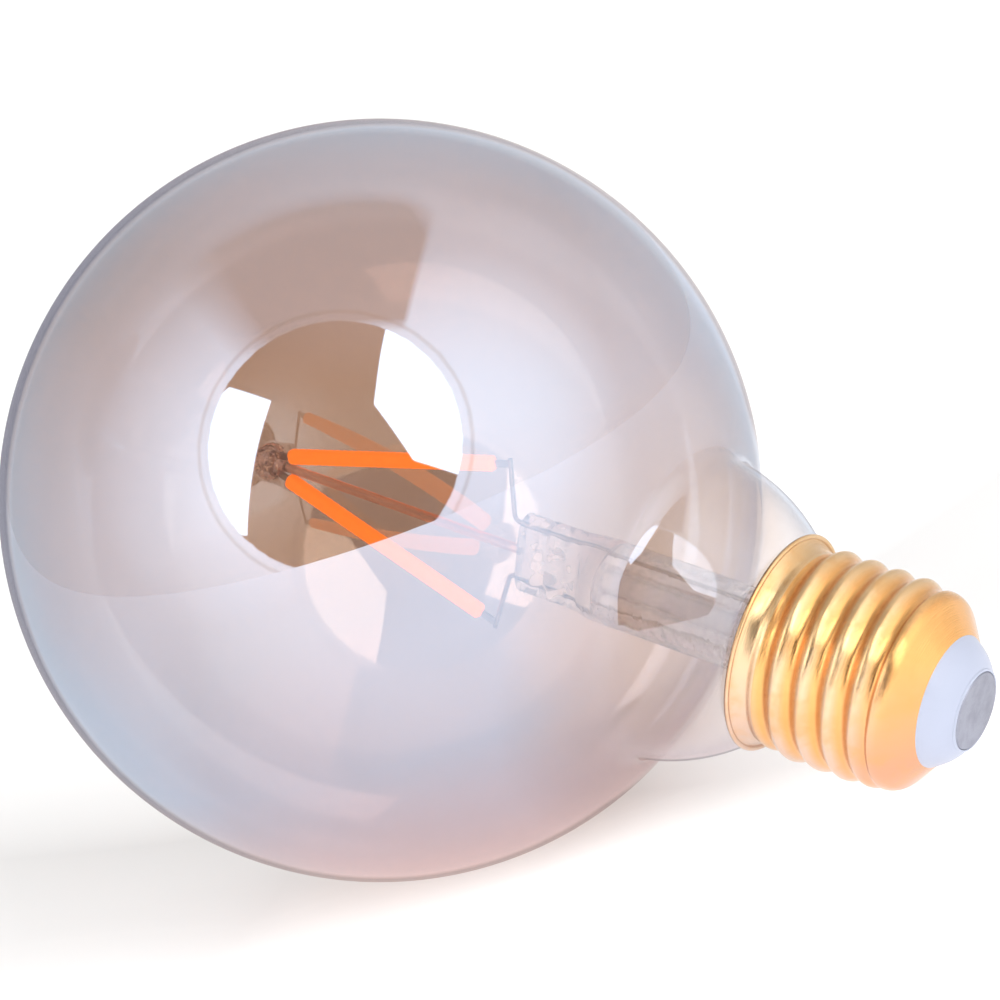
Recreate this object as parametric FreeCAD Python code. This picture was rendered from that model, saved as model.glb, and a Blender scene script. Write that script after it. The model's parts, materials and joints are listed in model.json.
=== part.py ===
import FreeCAD, Part
import math
import os

# A globe bulb with two light strips, lying on its globe and on the shoulder of its screw cap.
# Every piece is modelled along the lamp's own axis: +Z runs from the globe's centre to the cap,
# +X is the side that ends up on top. One placement then lays the lamp down.

Vector = FreeCAD.Vector

# Globe and neck, one blown glass, millimetres
overall_length = 132.0
globe_diameter = 95.0
glass_wall = 0.6
neck_radius = 19.5
neck_arc_radius = 24.0
neck_fillet = 4.0
neck_clearance = 0.4
neck_tail_depth = 5.5

# Screw cap
cap_height = 27.0
cap_wall = 0.35
cap_rim_radius = 13.75
cap_flare_height = 3.0
cap_mouth_radius = 8.35
cap_mouth_height = 23.3
shoulder_radius = 12.55
shoulder_round = 2.2
shoulder_slope = 52.4
shoulder_step = 0.5

# Screw thread
thread_root_radius = 12.15
thread_crest_radius = 13.1
thread_pitch = 3.629
thread_turns = 4.2
thread_start = 3.1
thread_phase = 151.4
thread_sink = 0.15
thread_foot = 3.1
thread_flank = 1.8
thread_crest = 0.8

# Insulator and centre contact
insulator_depth = 3.6
insulator_end_radius = 5.3
insulator_edge_round = 0.25
contact_radius = 4.9
contact_gap = 0.06
contact_stand = 0.12
contact_thickness = 0.6
contact_edge_round = 0.25
contact_shank_radius = 1.2
contact_shank_length = 5.0

# Cement that holds the cap on the glass
cement_inset = 0.6

# Glass stem
stem_radius = 5.3
stem_wall = 0.9
stem_lip_width = 0.8
pinch_face = 20.6
pinch_length = 8.0
pinch_thickness = 3.4
pinch_blend = 4.4
exhaust_radius = 2.0
exhaust_wall = 0.7
exhaust_tip_length = 2.6
exhaust_tip_round = 0.8
exhaust_reach = 3.0

# Glass rod with its bead
rod_radius = 0.6
bead_radius = 2.4
bead_length = 4.2
bead_centre = -16.4

# Light strips
strip_length = 31.0
strip_width = 1.9
strip_thickness = 1.6
strip_spread = 16.6
strip_start = -13.8
strip_start_offset = 1.55
tab_width = 0.9
tab_thickness = 0.3
tab_length = 2.2

# Wires
lead_radius = 0.3
lead_offset = 3.7
lead_bend = 1.0
lead_run_out = 1.2
lead_tip = 0.7
lead_joint = 4.0
link_radius = 0.2
link_offset = 1.2
link_bend = 0.4
outer_lead_radius = 0.25

# Driver in the cap
board_clearance = 0.3
board_thickness = 1.0
board_hole_clearance = 0.5
capacitor_radius = 4.0
capacitor_height = 11.0
capacitor_offset = 7.4
capacitor_edge_round = 0.4
capacitor_standoff = 0.6
capacitor_leg_radius = 0.25
capacitor_leg_pitch = 3.5
capacitor_groove_height = 1.4
capacitor_groove_depth = 0.3
chip_offset = 7.4
rectifier_size = (4.7, 3.9, 1.7)
driver_chip_size = (4.9, 3.9, 1.5)
fuse_radius = 1.3
fuse_length = 6.5
fuse_offset = 6.0
fuse_standoff = 2.0
supply_wire_radius = 0.3
supply_wire_bend = 1.0
neutral_offset = 9.0
neutral_rise = 3.0
neutral_angle = 35.0

# Heights along the lamp's axis that follow from the sizes above
globe_radius = globe_diameter / 2
contact_face = overall_length - globe_radius
cap_rim = contact_face - cap_height
cap_mouth = cap_rim + cap_mouth_height
tail_end = cap_rim + neck_tail_depth
lip_top = tail_end + stem_wall
board_top = lip_top + board_thickness
pinch_end = pinch_face + pinch_length
stem_floor = pinch_end + pinch_blend
cavity_radius = thread_root_radius - cap_wall
neck_tail_radius = cavity_radius - neck_clearance

# The cap's flare is an arc that leaves the thread's root upright and reaches the rim
flare_spread = cap_rim_radius - thread_root_radius
flare_radius = (flare_spread ** 2 + cap_flare_height ** 2) / (2 * flare_spread)
flare_middle = thread_root_radius + flare_radius
flare_end = cap_rim + cap_flare_height

# The shoulder's round, cone and start, worked back from the mouth
shoulder_angle = math.radians(shoulder_slope)
shoulder_core = shoulder_radius - shoulder_round
cone_start_radius = shoulder_core + shoulder_round * math.cos(shoulder_angle)
cone_start = cap_mouth - (cone_start_radius - cap_mouth_radius) / math.tan(shoulder_angle)
shoulder_centre = cone_start - shoulder_round * math.sin(shoulder_angle)


def at(radius, height):
    """A point of a profile, in the plane of the lamp's axis and +X."""
    return Vector(radius, 0, height)


def line(a, b):
    return Part.makeLine(a, b)


def arc(a, b, centre):
    """The shorter arc from a to b round centre."""
    radius = (a - centre).Length
    middle = ((a - centre) + (b - centre)).normalize() * radius + centre
    return Part.Arc(a, middle, b).toShape()


def revolved(edges):
    """The solid swept by a closed profile round the lamp's axis."""
    face = Part.Face(Part.Wire(Part.__sortEdges__(edges)))
    solid = face.revolve(Vector(0, 0, 0), Vector(0, 0, 1), 360)
    return solid if solid.Volume > 0 else solid.reversed()


def polygon_edges(points):
    ring = points + points[:1]
    return [line(a, b) for a, b in zip(ring, ring[1:])]


def tube(radius, low, high):
    """A round bar along the lamp's axis."""
    return Part.makeCylinder(radius, high - low, Vector(0, 0, low))


def wire_along(points, radius, bend):
    """A round wire through points, with an arc of the given radius at each corner."""
    edges = []
    start = points[0]
    for before, corner, after in zip(points, points[1:], points[2:]):
        back = (before - corner).normalize()
        onward = (after - corner).normalize()
        half = back.getAngle(onward) / 2
        reach = bend / math.tan(half)
        centre = corner + (back + onward).normalize() * (bend / math.sin(half))
        enter = corner + back * reach
        leave = corner + onward * reach
        edges += [line(start, enter), arc(enter, leave, centre)]
        start = leave
    edges.append(line(start, points[-1]))
    path = Part.Wire(edges)
    ring = Part.Wire(Part.makeCircle(radius, points[0], points[1] - points[0]))
    return path.makePipeShell([ring], True, False)


# Globe

# Inside the cap the glass follows the flare at its clearance, and the neck's arc runs smoothly into that curve
neck_flare_radius = flare_radius + cap_wall + neck_clearance
neck_flare_centre = at(flare_middle, flare_end)
neck_core = neck_radius - neck_arc_radius
neck_drop = math.sqrt((neck_arc_radius + neck_flare_radius) ** 2 - (flare_middle - neck_core) ** 2)
neck_centre = at(neck_core, flare_end - neck_drop)


def fillet_centre():
    """Where a fillet between the globe and the neck has its centre: it touches both from outside."""
    from_globe = globe_radius + neck_fillet
    from_neck = neck_arc_radius + neck_fillet
    span = neck_centre.Length
    along = (from_globe ** 2 - from_neck ** 2 + span ** 2) / (2 * span)
    aside = math.sqrt(from_globe ** 2 - along ** 2)
    way = neck_centre * (1 / span)
    return way * along + Vector(way.z, 0, -way.x) * aside


def glass_outline(inset):
    """The glass profile from its pole to the end of its tail, moved inwards by inset."""
    middle = Vector(0, 0, 0)
    hollow = fillet_centre()
    pole = at(0, inset - globe_radius)
    globe_end = hollow * ((globe_radius - inset) / hollow.Length)
    toward_neck = (hollow - neck_centre).normalize()
    neck_start = neck_centre + toward_neck * (neck_arc_radius - inset)
    toward_flare = (neck_flare_centre - neck_centre).normalize()
    neck_end = neck_centre + toward_flare * (neck_arc_radius - inset)
    tail = neck_tail_radius - inset
    tail_start = at(tail, flare_end)
    equator = at(globe_radius - inset, 0)
    edges = [
        arc(pole, equator, middle),
        arc(equator, globe_end, middle),
        arc(globe_end, neck_start, hollow),
        arc(neck_start, neck_end, neck_centre),
        arc(neck_end, tail_start, neck_flare_centre),
        line(tail_start, at(tail, tail_end)),
    ]
    return edges


def glass_globe():
    outer = glass_outline(0)
    inner = glass_outline(glass_wall)
    ends = [
        line(at(0, -globe_radius), at(0, glass_wall - globe_radius)),
        line(at(neck_tail_radius, tail_end), at(neck_tail_radius - glass_wall, tail_end)),
    ]
    return revolved(outer + inner + ends)


def glass_body():
    """The space that the glass and what it encloses take up."""
    closing = [line(at(0, -globe_radius), at(0, tail_end)), line(at(0, tail_end), at(neck_tail_radius, tail_end))]
    return revolved(glass_outline(0) + closing)


# Screw cap

def cap_outline(inset):
    """The cap's profile from its rim to its mouth, moved inwards by inset."""
    flare_centre = at(flare_middle, flare_end)
    flare_reach = math.sqrt((flare_radius + inset) ** 2 - cap_flare_height ** 2)
    rim = at(flare_middle - flare_reach, cap_rim)
    root = thread_root_radius - inset
    root_start = at(root, flare_end)
    step_start = at(root, shoulder_centre - shoulder_step)
    round_centre = at(shoulder_core, shoulder_centre)
    round_start = at(shoulder_radius - inset, shoulder_centre)
    turn = shoulder_round - inset
    round_end = round_centre + at(math.cos(shoulder_angle), math.sin(shoulder_angle)) * turn
    slope = math.tan(shoulder_angle)
    mouth = at(cap_mouth_radius, round_end.z + (round_end.x - cap_mouth_radius) / slope)
    edges = [
        arc(rim, root_start, flare_centre),
        line(root_start, step_start),
        line(step_start, round_start),
        arc(round_start, round_end, round_centre),
        line(round_end, mouth),
    ]
    return edges, rim, mouth


def filled_cap(inset):
    """The solid inside the cap's profile, moved inwards by inset."""
    edges, rim, mouth = cap_outline(inset)
    closing = [line(at(0, rim.z), rim), line(mouth, at(0, mouth.z)), line(at(0, mouth.z), at(0, rim.z))]
    return revolved(edges + closing)


def thread_ridge():
    """The screw thread: a rounded ridge along a helix, which rises and runs out within a pitch at its ends."""
    start = cap_rim + thread_start
    height = thread_turns * thread_pitch
    sunk = thread_root_radius - thread_sink
    half_height = (thread_root_radius + thread_crest_radius) / 2
    side = [(sunk, thread_foot / 2), (half_height, thread_flank / 2), (thread_crest_radius, thread_crest / 2)]
    section = [at(radius, -half) for radius, half in side] + [at(radius, half) for radius, half in reversed(side)]
    helix = Part.Wire(Part.makeHelix(thread_pitch, height, thread_root_radius))
    ridge = helix.makePipeShell([Part.makePolygon(section + section[:1])], True, True)
    ridge.translate(Vector(0, 0, start))
    low = start - thread_foot / 2
    high = start + height + thread_foot / 2
    clear = thread_crest_radius + thread_sink
    envelope = revolved(polygon_edges([
        at(sunk - cap_wall, low),
        at(sunk, low),
        at(clear, low + thread_pitch),
        at(clear, high - thread_pitch),
        at(sunk, high),
        at(sunk - cap_wall, high),
    ]))
    return ridge.common(envelope)


def screw_shell():
    outside = filled_cap(0).fuse(thread_ridge())
    mouth_hole = tube(cap_mouth_radius, cap_mouth - cap_height / 2, cap_mouth + cap_wall)
    shell = outside.cut(filled_cap(cap_wall)).cut(mouth_hole)
    shell.rotate(Vector(0, 0, 0), Vector(0, 0, 1), thread_phase)
    return shell


def cap_insulator():
    """The insulator: it fills the cap under the shoulder and stands out of the mouth as a cone round the contact."""
    floor = cap_mouth - insulator_depth
    seat = contact_face - contact_thickness
    end = contact_face - contact_stand
    edge = insulator_end_radius - insulator_edge_round
    plug = filled_cap(cap_wall).common(tube(cap_rim_radius, floor, cap_mouth))
    cone = revolved([
        line(at(0, floor), at(cap_mouth_radius, floor)),
        line(at(cap_mouth_radius, floor), at(cap_mouth_radius, cap_mouth)),
        line(at(cap_mouth_radius, cap_mouth), at(insulator_end_radius, end - insulator_edge_round)),
        arc(
            at(insulator_end_radius, end - insulator_edge_round),
            at(edge, end),
            at(edge, end - insulator_edge_round),
        ),
        line(at(edge, end), at(0, end)),
        line(at(0, end), at(0, floor)),
    ])
    bore = tube(contact_shank_radius, floor, end)
    recess = tube(contact_radius + contact_gap, seat, end)
    return plug.fuse(cone).removeSplitter().cut(bore).cut(recess)


def centre_contact():
    seat = contact_face - contact_thickness
    edge = contact_radius - contact_edge_round
    disc = revolved([
        line(at(0, seat), at(contact_radius, seat)),
        line(at(contact_radius, seat), at(contact_radius, contact_face - contact_edge_round)),
        arc(
            at(contact_radius, contact_face - contact_edge_round),
            at(edge, contact_face),
            at(edge, contact_face - contact_edge_round),
        ),
        line(at(edge, contact_face), at(0, contact_face)),
        line(at(0, contact_face), at(0, seat)),
    ])
    return disc.fuse(tube(contact_shank_radius, seat - contact_shank_length, seat)).removeSplitter()


def cap_cement():
    """The cement fills the gap between the cap and the neck, from just inside the rim to the glass's end."""
    band = tube(cap_rim_radius, cap_rim + cement_inset, tail_end)
    return band.common(filled_cap(cap_wall)).cut(glass_body())


# Glass stem

def four_arc_ring(half_width, half_thickness, height):
    """A closed outline of two ends and two sides: a flat slot, or a circle where both halves are equal."""
    if half_width == half_thickness:
        corner = half_width * math.sqrt(0.5)
        rise = corner
        middle_side = half_width
        middle_end = half_width
    else:
        corner = half_width - half_thickness
        rise = half_thickness
        middle_side = half_thickness
        middle_end = half_width
    right_low = Vector(corner, -rise, height)
    right_high = Vector(corner, rise, height)
    left_high = Vector(-corner, rise, height)
    left_low = Vector(-corner, -rise, height)

    def side(a, b, y):
        if middle_side == rise:
            return line(a, b)
        return Part.Arc(a, Vector(0, y, height), b).toShape()

    return Part.Wire([
        Part.Arc(right_low, Vector(middle_end, 0, height), right_high).toShape(),
        side(right_high, left_high, middle_side),
        Part.Arc(left_high, Vector(-middle_end, 0, height), left_low).toShape(),
        side(left_low, right_low, -middle_side),
    ])


def stem_flare():
    """The flare tube with its lip on the glass's end, pressed flat at its inner end round the leads."""
    hole = stem_radius - stem_wall
    turn = neck_tail_radius - stem_lip_width - stem_radius
    bend = tail_end - turn
    lip = stem_radius + turn
    centre = at(lip, bend)
    flare = revolved([
        line(at(hole, stem_floor), at(stem_radius, stem_floor)),
        line(at(stem_radius, stem_floor), at(stem_radius, bend)),
        arc(at(stem_radius, bend), at(lip, tail_end), centre),
        line(at(lip, tail_end), at(neck_tail_radius, tail_end)),
        line(at(neck_tail_radius, tail_end), at(neck_tail_radius, lip_top)),
        line(at(neck_tail_radius, lip_top), at(lip, lip_top)),
        arc(at(lip, lip_top), at(hole, bend), centre),
        line(at(hole, bend), at(hole, stem_floor)),
    ])
    slot = (stem_radius, pinch_thickness / 2)
    press = Part.Face(four_arc_ring(*slot, pinch_face)).extrude(Vector(0, 0, pinch_length))
    blend = Part.makeLoft(
        [four_arc_ring(*slot, pinch_end), four_arc_ring(stem_radius, stem_radius, stem_floor)], True
    )
    stem = flare.fuse([press, blend]).removeSplitter()
    for way in (1, -1):
        stem = stem.cut(inner_lead(way)).cut(outer_lead(way))
    return stem


def exhaust_tube():
    """The tube that the lamp was pumped through, melted shut in a point inside the cap."""
    tip = board_top + exhaust_reach
    shoulder = tip - exhaust_tip_length
    hole = exhaust_radius - exhaust_wall
    hole_end = shoulder - exhaust_wall
    round_start = at(exhaust_tip_round, tip - exhaust_tip_round)
    return revolved([
        line(at(hole, stem_floor), at(exhaust_radius, stem_floor)),
        line(at(exhaust_radius, stem_floor), at(exhaust_radius, shoulder)),
        line(at(exhaust_radius, shoulder), round_start),
        arc(round_start, at(0, tip), at(0, tip - exhaust_tip_round)),
        line(at(0, tip), at(0, hole_end)),
        line(at(0, hole_end), at(hole, hole_end)),
        line(at(hole, hole_end), at(hole, stem_floor)),
    ])


def support_rod():
    """The glass rod on the stem's end, with the bead that holds the inner ends of the light strips."""
    low = bead_centre - bead_length / 2
    high = bead_centre + bead_length / 2
    solid = revolved([
        Part.Arc(at(0, low), at(bead_radius, bead_centre), at(rod_radius, high)).toShape(),
        line(at(rod_radius, high), at(rod_radius, pinch_face)),
        line(at(rod_radius, pinch_face), at(0, pinch_face)),
        line(at(0, pinch_face), at(0, low)),
    ])
    return solid.cut(hub_link()).cut(inner_tab(1)).cut(inner_tab(-1))


# Light strips and their wires. way is 1 for the upper strip and -1 for the lower one.

spread_angle = math.radians(strip_spread)


def strip_point(way, distance):
    """A point on a strip's middle line, by its distance from the strip's inner end."""
    offset = strip_start_offset + distance * math.sin(spread_angle)
    return Vector(way * offset, 0, strip_start + distance * math.cos(spread_angle))


def bar_along_strip(way, first, last, width, thickness, rounding):
    """A flat bar along a strip's middle line, with its long edges rounded."""
    bar = Part.makeBox(width, thickness, last - first, Vector(-width / 2, -thickness / 2, first))
    if rounding:
        long_edges = [e for e in bar.Edges if abs(e.Length - (last - first)) < 1e-6]
        bar = bar.makeFillet(rounding, long_edges)
    bar.rotate(Vector(0, 0, 0), Vector(0, 1, 0), way * strip_spread)
    bar.translate(strip_point(way, 0))
    return bar


def light_strip(way):
    return bar_along_strip(way, 0, strip_length, strip_width, strip_thickness, strip_thickness * 0.42)


def inner_tab(way):
    """The tab at a strip's inner end, held in the bead and cut to fit the wire that it is welded to."""
    bar = bar_along_strip(way, -tab_length, 0, tab_width, tab_thickness, 0)
    return max(bar.cut(hub_link()).Solids, key=lambda s: s.CenterOfMass.z)


def outer_tab(way):
    """The tab at a strip's outer end, cut to fit the lead that it is welded to."""
    bar = bar_along_strip(way, strip_length, strip_length + tab_length, tab_width, tab_thickness, 0)
    return min(bar.cut(inner_lead(way)).Solids, key=lambda s: s.CenterOfMass.z)


def strip_tabs(way):
    return Part.makeCompound([inner_tab(way), outer_tab(way)])


def hub_link():
    """The wire through the bead that joins the two strips."""
    rise = strip_start - tab_length / 2
    return wire_along(
        [
            Vector(link_offset, 0, rise),
            Vector(link_offset, 0, bead_centre),
            Vector(-link_offset, 0, bead_centre),
            Vector(-link_offset, 0, rise),
        ],
        link_radius,
        link_bend,
    )


def inner_lead(way):
    """The wire from inside the pinch to the outer end of a strip."""
    weld = strip_point(way, strip_length + tab_length)
    start = Vector(way * lead_offset, 0, pinch_face + lead_joint)
    corner = Vector(way * lead_offset, 0, pinch_face - lead_run_out)
    end = weld + (weld - corner).normalize() * lead_tip
    return wire_along([start, corner, end], lead_radius, lead_bend)


def outer_lead(way):
    """The wire from inside the pinch, through the flare tube, to the board."""
    return Part.makeCylinder(
        outer_lead_radius,
        board_top - pinch_face - lead_joint,
        Vector(way * lead_offset, 0, pinch_face + lead_joint),
    )


# Driver in the cap

def driver_board():
    """A round board on the stem's lip, with holes for the exhaust tube and the leads."""
    board = tube(cavity_radius - board_clearance, lip_top, board_top)
    board = board.cut(tube(exhaust_radius + board_hole_clearance, lip_top, board_top))
    for way in (1, -1):
        board = board.cut(outer_lead(way))
    return board


def on_board(solid, offset, angle):
    """Move a piece made round the lamp's axis to its place on the board."""
    solid.translate(Vector(offset, 0, board_top))
    solid.rotate(Vector(0, 0, 0), Vector(0, 0, 1), angle)
    return solid


def chip(size, angle):
    width, depth, height = size
    body = Part.makeBox(width, depth, height, Vector(-width / 2, -depth / 2, 0))
    upright = [e for e in body.Edges if abs(e.Length - height) < 1e-6]
    return on_board(body.makeFillet(height / 6, upright), chip_offset, angle)


def smoothing_capacitor():
    """A can on two legs on the board's lower side, with its rolled groove and rounded top edge."""
    groove_low = capacitor_groove_height - capacitor_groove_depth
    groove_high = capacitor_groove_height + capacitor_groove_depth
    waist = capacitor_radius - capacitor_groove_depth
    edge = capacitor_radius - capacitor_edge_round
    can = revolved([
        line(at(0, 0), at(capacitor_radius, 0)),
        line(at(capacitor_radius, 0), at(capacitor_radius, groove_low)),
        line(at(capacitor_radius, groove_low), at(waist, capacitor_groove_height)),
        line(at(waist, capacitor_groove_height), at(capacitor_radius, groove_high)),
        line(at(capacitor_radius, groove_high), at(capacitor_radius, capacitor_height - capacitor_edge_round)),
        arc(
            at(capacitor_radius, capacitor_height - capacitor_edge_round),
            at(edge, capacitor_height),
            at(edge, capacitor_height - capacitor_edge_round),
        ),
        line(at(edge, capacitor_height), at(0, capacitor_height)),
        line(at(0, capacitor_height), at(0, 0)),
    ])
    can.translate(Vector(0, 0, capacitor_standoff))
    for side in (capacitor_leg_pitch / 2, -capacitor_leg_pitch / 2):
        can = can.fuse(Part.makeCylinder(capacitor_leg_radius, capacitor_standoff, Vector(0, side, 0)))
    return on_board(can, capacitor_offset, 180)


def fuse_resistor():
    body = Part.makeCylinder(fuse_radius, fuse_length, Vector(0, 0, fuse_standoff))
    body = body.makeFillet(fuse_radius / 3, [e for e in body.Edges if e.Closed])
    return on_board(body, fuse_offset, 0)


def live_wire():
    """The resistor's two leads: one stands on the board, the other bends over to the centre contact."""
    foot = Part.makeCylinder(supply_wire_radius, fuse_standoff, Vector(fuse_offset, 0, board_top))
    top = board_top + fuse_standoff + fuse_length
    end = contact_face - contact_thickness - contact_shank_length
    rise = (end - top) / 2
    over = wire_along(
        [at(fuse_offset, top), at(fuse_offset, top + rise), at(0, top + rise), at(0, end)],
        supply_wire_radius,
        min(supply_wire_bend, rise * 0.8),
    )
    return Part.makeCompound([foot, over])


def neutral_wire():
    """The wire from the board to the wall of the cap."""
    path = [
        at(neutral_offset, board_top),
        at(neutral_offset, board_top + neutral_rise),
        at(cavity_radius + supply_wire_radius, board_top + neutral_rise),
    ]
    wire = wire_along(path, supply_wire_radius, supply_wire_bend)
    wire.rotate(Vector(0, 0, 0), Vector(0, 0, 1), neutral_angle)
    return wire.common(filled_cap(cap_wall))


# How the lamp lies: the globe and the round of the cap's shoulder touch the same floor
rest_tilt = math.asin((globe_radius - shoulder_round) / math.hypot(shoulder_centre, shoulder_core))
rest_tilt -= math.atan2(shoulder_core, shoulder_centre)
upper_side = Vector(math.sin(rest_tilt), 0, math.cos(rest_tilt))
lamp_axis = Vector(math.cos(rest_tilt), 0, -math.sin(rest_tilt))
turned = FreeCAD.Rotation(upper_side, lamp_axis.cross(upper_side), lamp_axis, "ZXY")
contact_reach = contact_face * math.cos(rest_tilt) + (contact_radius - contact_edge_round) * math.sin(rest_tilt)
globe_place = Vector((globe_radius - contact_reach) / 2, 0, globe_radius)
rest = FreeCAD.Placement(globe_place, turned)

pieces = {
    "glass_globe": glass_globe(),
    "stem_flare": stem_flare(),
    "exhaust_tube": exhaust_tube(),
    "support_rod": support_rod(),
    "hub_link": hub_link(),
    "filament_upper": light_strip(1),
    "filament_lower": light_strip(-1),
    "tabs_upper": strip_tabs(1),
    "tabs_lower": strip_tabs(-1),
    "inner_lead_upper": inner_lead(1),
    "inner_lead_lower": inner_lead(-1),
    "outer_lead_upper": outer_lead(1),
    "outer_lead_lower": outer_lead(-1),
    "screw_shell": screw_shell(),
    "cap_insulator": cap_insulator(),
    "centre_contact": centre_contact(),
    "cap_cement": cap_cement(),
    "driver_board": driver_board(),
    "bridge_rectifier": chip(rectifier_size, 90),
    "driver_chip": chip(driver_chip_size, -90),
    "smoothing_capacitor": smoothing_capacitor(),
    "fuse_resistor": fuse_resistor(),
    "live_wire": live_wire(),
    "neutral_wire": neutral_wire(),
}

os.makedirs("parts", exist_ok=True)
for name, shape in pieces.items():
    placed = shape.copy()
    placed.Placement = rest.multiply(placed.Placement)
    placed.exportStep(f"parts/{name}.step")
    print(name, "solids", len(placed.Solids), "valid", placed.isValid(), "volume", round(placed.Volume, 2))
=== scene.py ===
"""Dresses the solid model of a globe bulb: blown glass, rolled cap, pressed stem and coated light strips.

Every piece is worked out in the lamp's own coordinates, in metres. The third runs along the lamp's axis,
from the globe's centre to the cap, and the first points to the side that lies uppermost.
"""

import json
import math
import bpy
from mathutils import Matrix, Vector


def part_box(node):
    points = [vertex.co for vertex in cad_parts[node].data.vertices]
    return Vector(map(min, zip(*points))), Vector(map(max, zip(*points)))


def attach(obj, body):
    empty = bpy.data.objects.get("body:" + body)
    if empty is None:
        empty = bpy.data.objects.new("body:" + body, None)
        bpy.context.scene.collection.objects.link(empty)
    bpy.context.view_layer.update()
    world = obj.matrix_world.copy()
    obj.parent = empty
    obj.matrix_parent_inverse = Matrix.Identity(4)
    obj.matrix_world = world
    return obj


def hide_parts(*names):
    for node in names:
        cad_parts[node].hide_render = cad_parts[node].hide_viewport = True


bl_info = {
    "name": "Globe bulb",
    "version": (1, 0, 0),
    "blender": (4, 5, 0),
    "location": "View3D > Sidebar > Bulb",
    "description": "Makes the glass, cap, stem and light strips of a globe bulb round its solid model",
    "category": "Object",
}

from types import SimpleNamespace

import bpy
import numpy as np
from bpy.props import FloatProperty, FloatVectorProperty, PointerProperty
from mathutils import Matrix

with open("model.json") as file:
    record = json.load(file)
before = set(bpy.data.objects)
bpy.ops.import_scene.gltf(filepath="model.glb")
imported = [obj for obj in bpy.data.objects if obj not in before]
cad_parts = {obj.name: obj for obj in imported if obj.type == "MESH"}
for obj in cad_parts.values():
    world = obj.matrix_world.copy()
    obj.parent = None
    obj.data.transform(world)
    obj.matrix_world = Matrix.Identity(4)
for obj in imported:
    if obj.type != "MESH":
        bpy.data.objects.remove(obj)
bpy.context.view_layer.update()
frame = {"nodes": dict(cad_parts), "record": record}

# How the lamp lies, read from the frame
contact_mount = next(m for m in frame["record"]["mounts"] if m["name"] == "contact_face")
lamp_axis = np.array(contact_mount["axis"])
upper_side = np.array([-lamp_axis[2], 0.0, lamp_axis[0]])
lamp_turn = np.stack([upper_side, np.cross(lamp_axis, upper_side), lamp_axis])
globe_low, globe_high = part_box("glass_globe")
measured_diameter = round(globe_high.z - globe_low.z, 3)

# Directions in the lamp's own coordinates, and a colour that several finishes share
lengthwise = (0, 0, 1)
downward = (-1, 0, 0)
white = (1, 1, 1)


# Properties

def size(name, description, default):
    """A length, in metres."""
    return FloatProperty(name=name, description=description, default=default, unit="LENGTH", precision=5)


def turn(name, description, default):
    """An angle, given in degrees and kept in radians."""
    angle = math.radians(default)
    return FloatProperty(name=name, description=description, default=angle, subtype="ANGLE")


def share(name, description, default):
    """A plain number."""
    return FloatProperty(name=name, description=description, default=default)


def tint(name, description, default):
    """A colour, in linear light."""
    return FloatVectorProperty(
        name=name, description=description, default=default, size=3, min=0, max=1, subtype="COLOR"
    )


class GlassSizes(bpy.types.PropertyGroup):
    """Sizes of the blown globe and its neck."""

    overall_length: size("Overall length", "From the globe's pole to the contact", 0.132)
    globe_diameter: size("Globe diameter", "Across the globe", measured_diameter)
    wall: size("Wall", "Thickness of the glass", 0.0006)
    neck_radius: size("Neck radius", "Widest half width of the neck", 0.0195)
    neck_arc: size("Neck arc", "Radius of the neck's curve", 0.024)
    neck_fillet: size("Neck fillet", "Radius of the hollow between globe and neck", 0.004)
    cap_clearance: size("Cap clearance", "Gap between the cap and the glass inside it", 0.0004)
    tail_depth: size("Tail depth", "How far the glass reaches into the cap", 0.0055)


class CoatSettings(bpy.types.PropertyGroup):
    """How the coat on the glass mirrors, and where it changes."""

    face_share: share("Share face on", "Share of the light that is mirrored face on", 0.33)
    outline_share: share("Share at the outline", "What is mirrored more at the outline", 0.63)
    uneven_share: share("Unevenness", "What is mirrored more in patches", 0.04)
    neck_loss: share("Loss on the neck", "What is mirrored less on the neck", 0.29)
    rose_patches: share("Rose patches", "How rose the patches are", 0.22)
    # Rose below and rose start place a painted warm reflection on the glass's lower side.
    painted_rose_below: share("Rose below", "How rose the lower side is", 0.7)
    painted_rose_start: size("Rose start", "How far down the lower side turns rose", 0.033)
    # Cool start: where the painted shade of the lower half begins.
    painted_shade_start: size("Cool start", "How far down the glass lets cooler light through", 0.0075)
    # Crown end, root start and root end: where the painted dark outline is strongest and where it stops.
    crown_end: size("Crown end", "Height at which the crown's darker outline ends", -0.015)
    root_start: size("Root start", "Height at which the neck's root starts", 0.0395)
    root_end: size("Root end", "Height at which the neck's root ends", 0.0455)
    neck_start: size("Neck start", "Height from which the coat is thin", 0.042)


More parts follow.
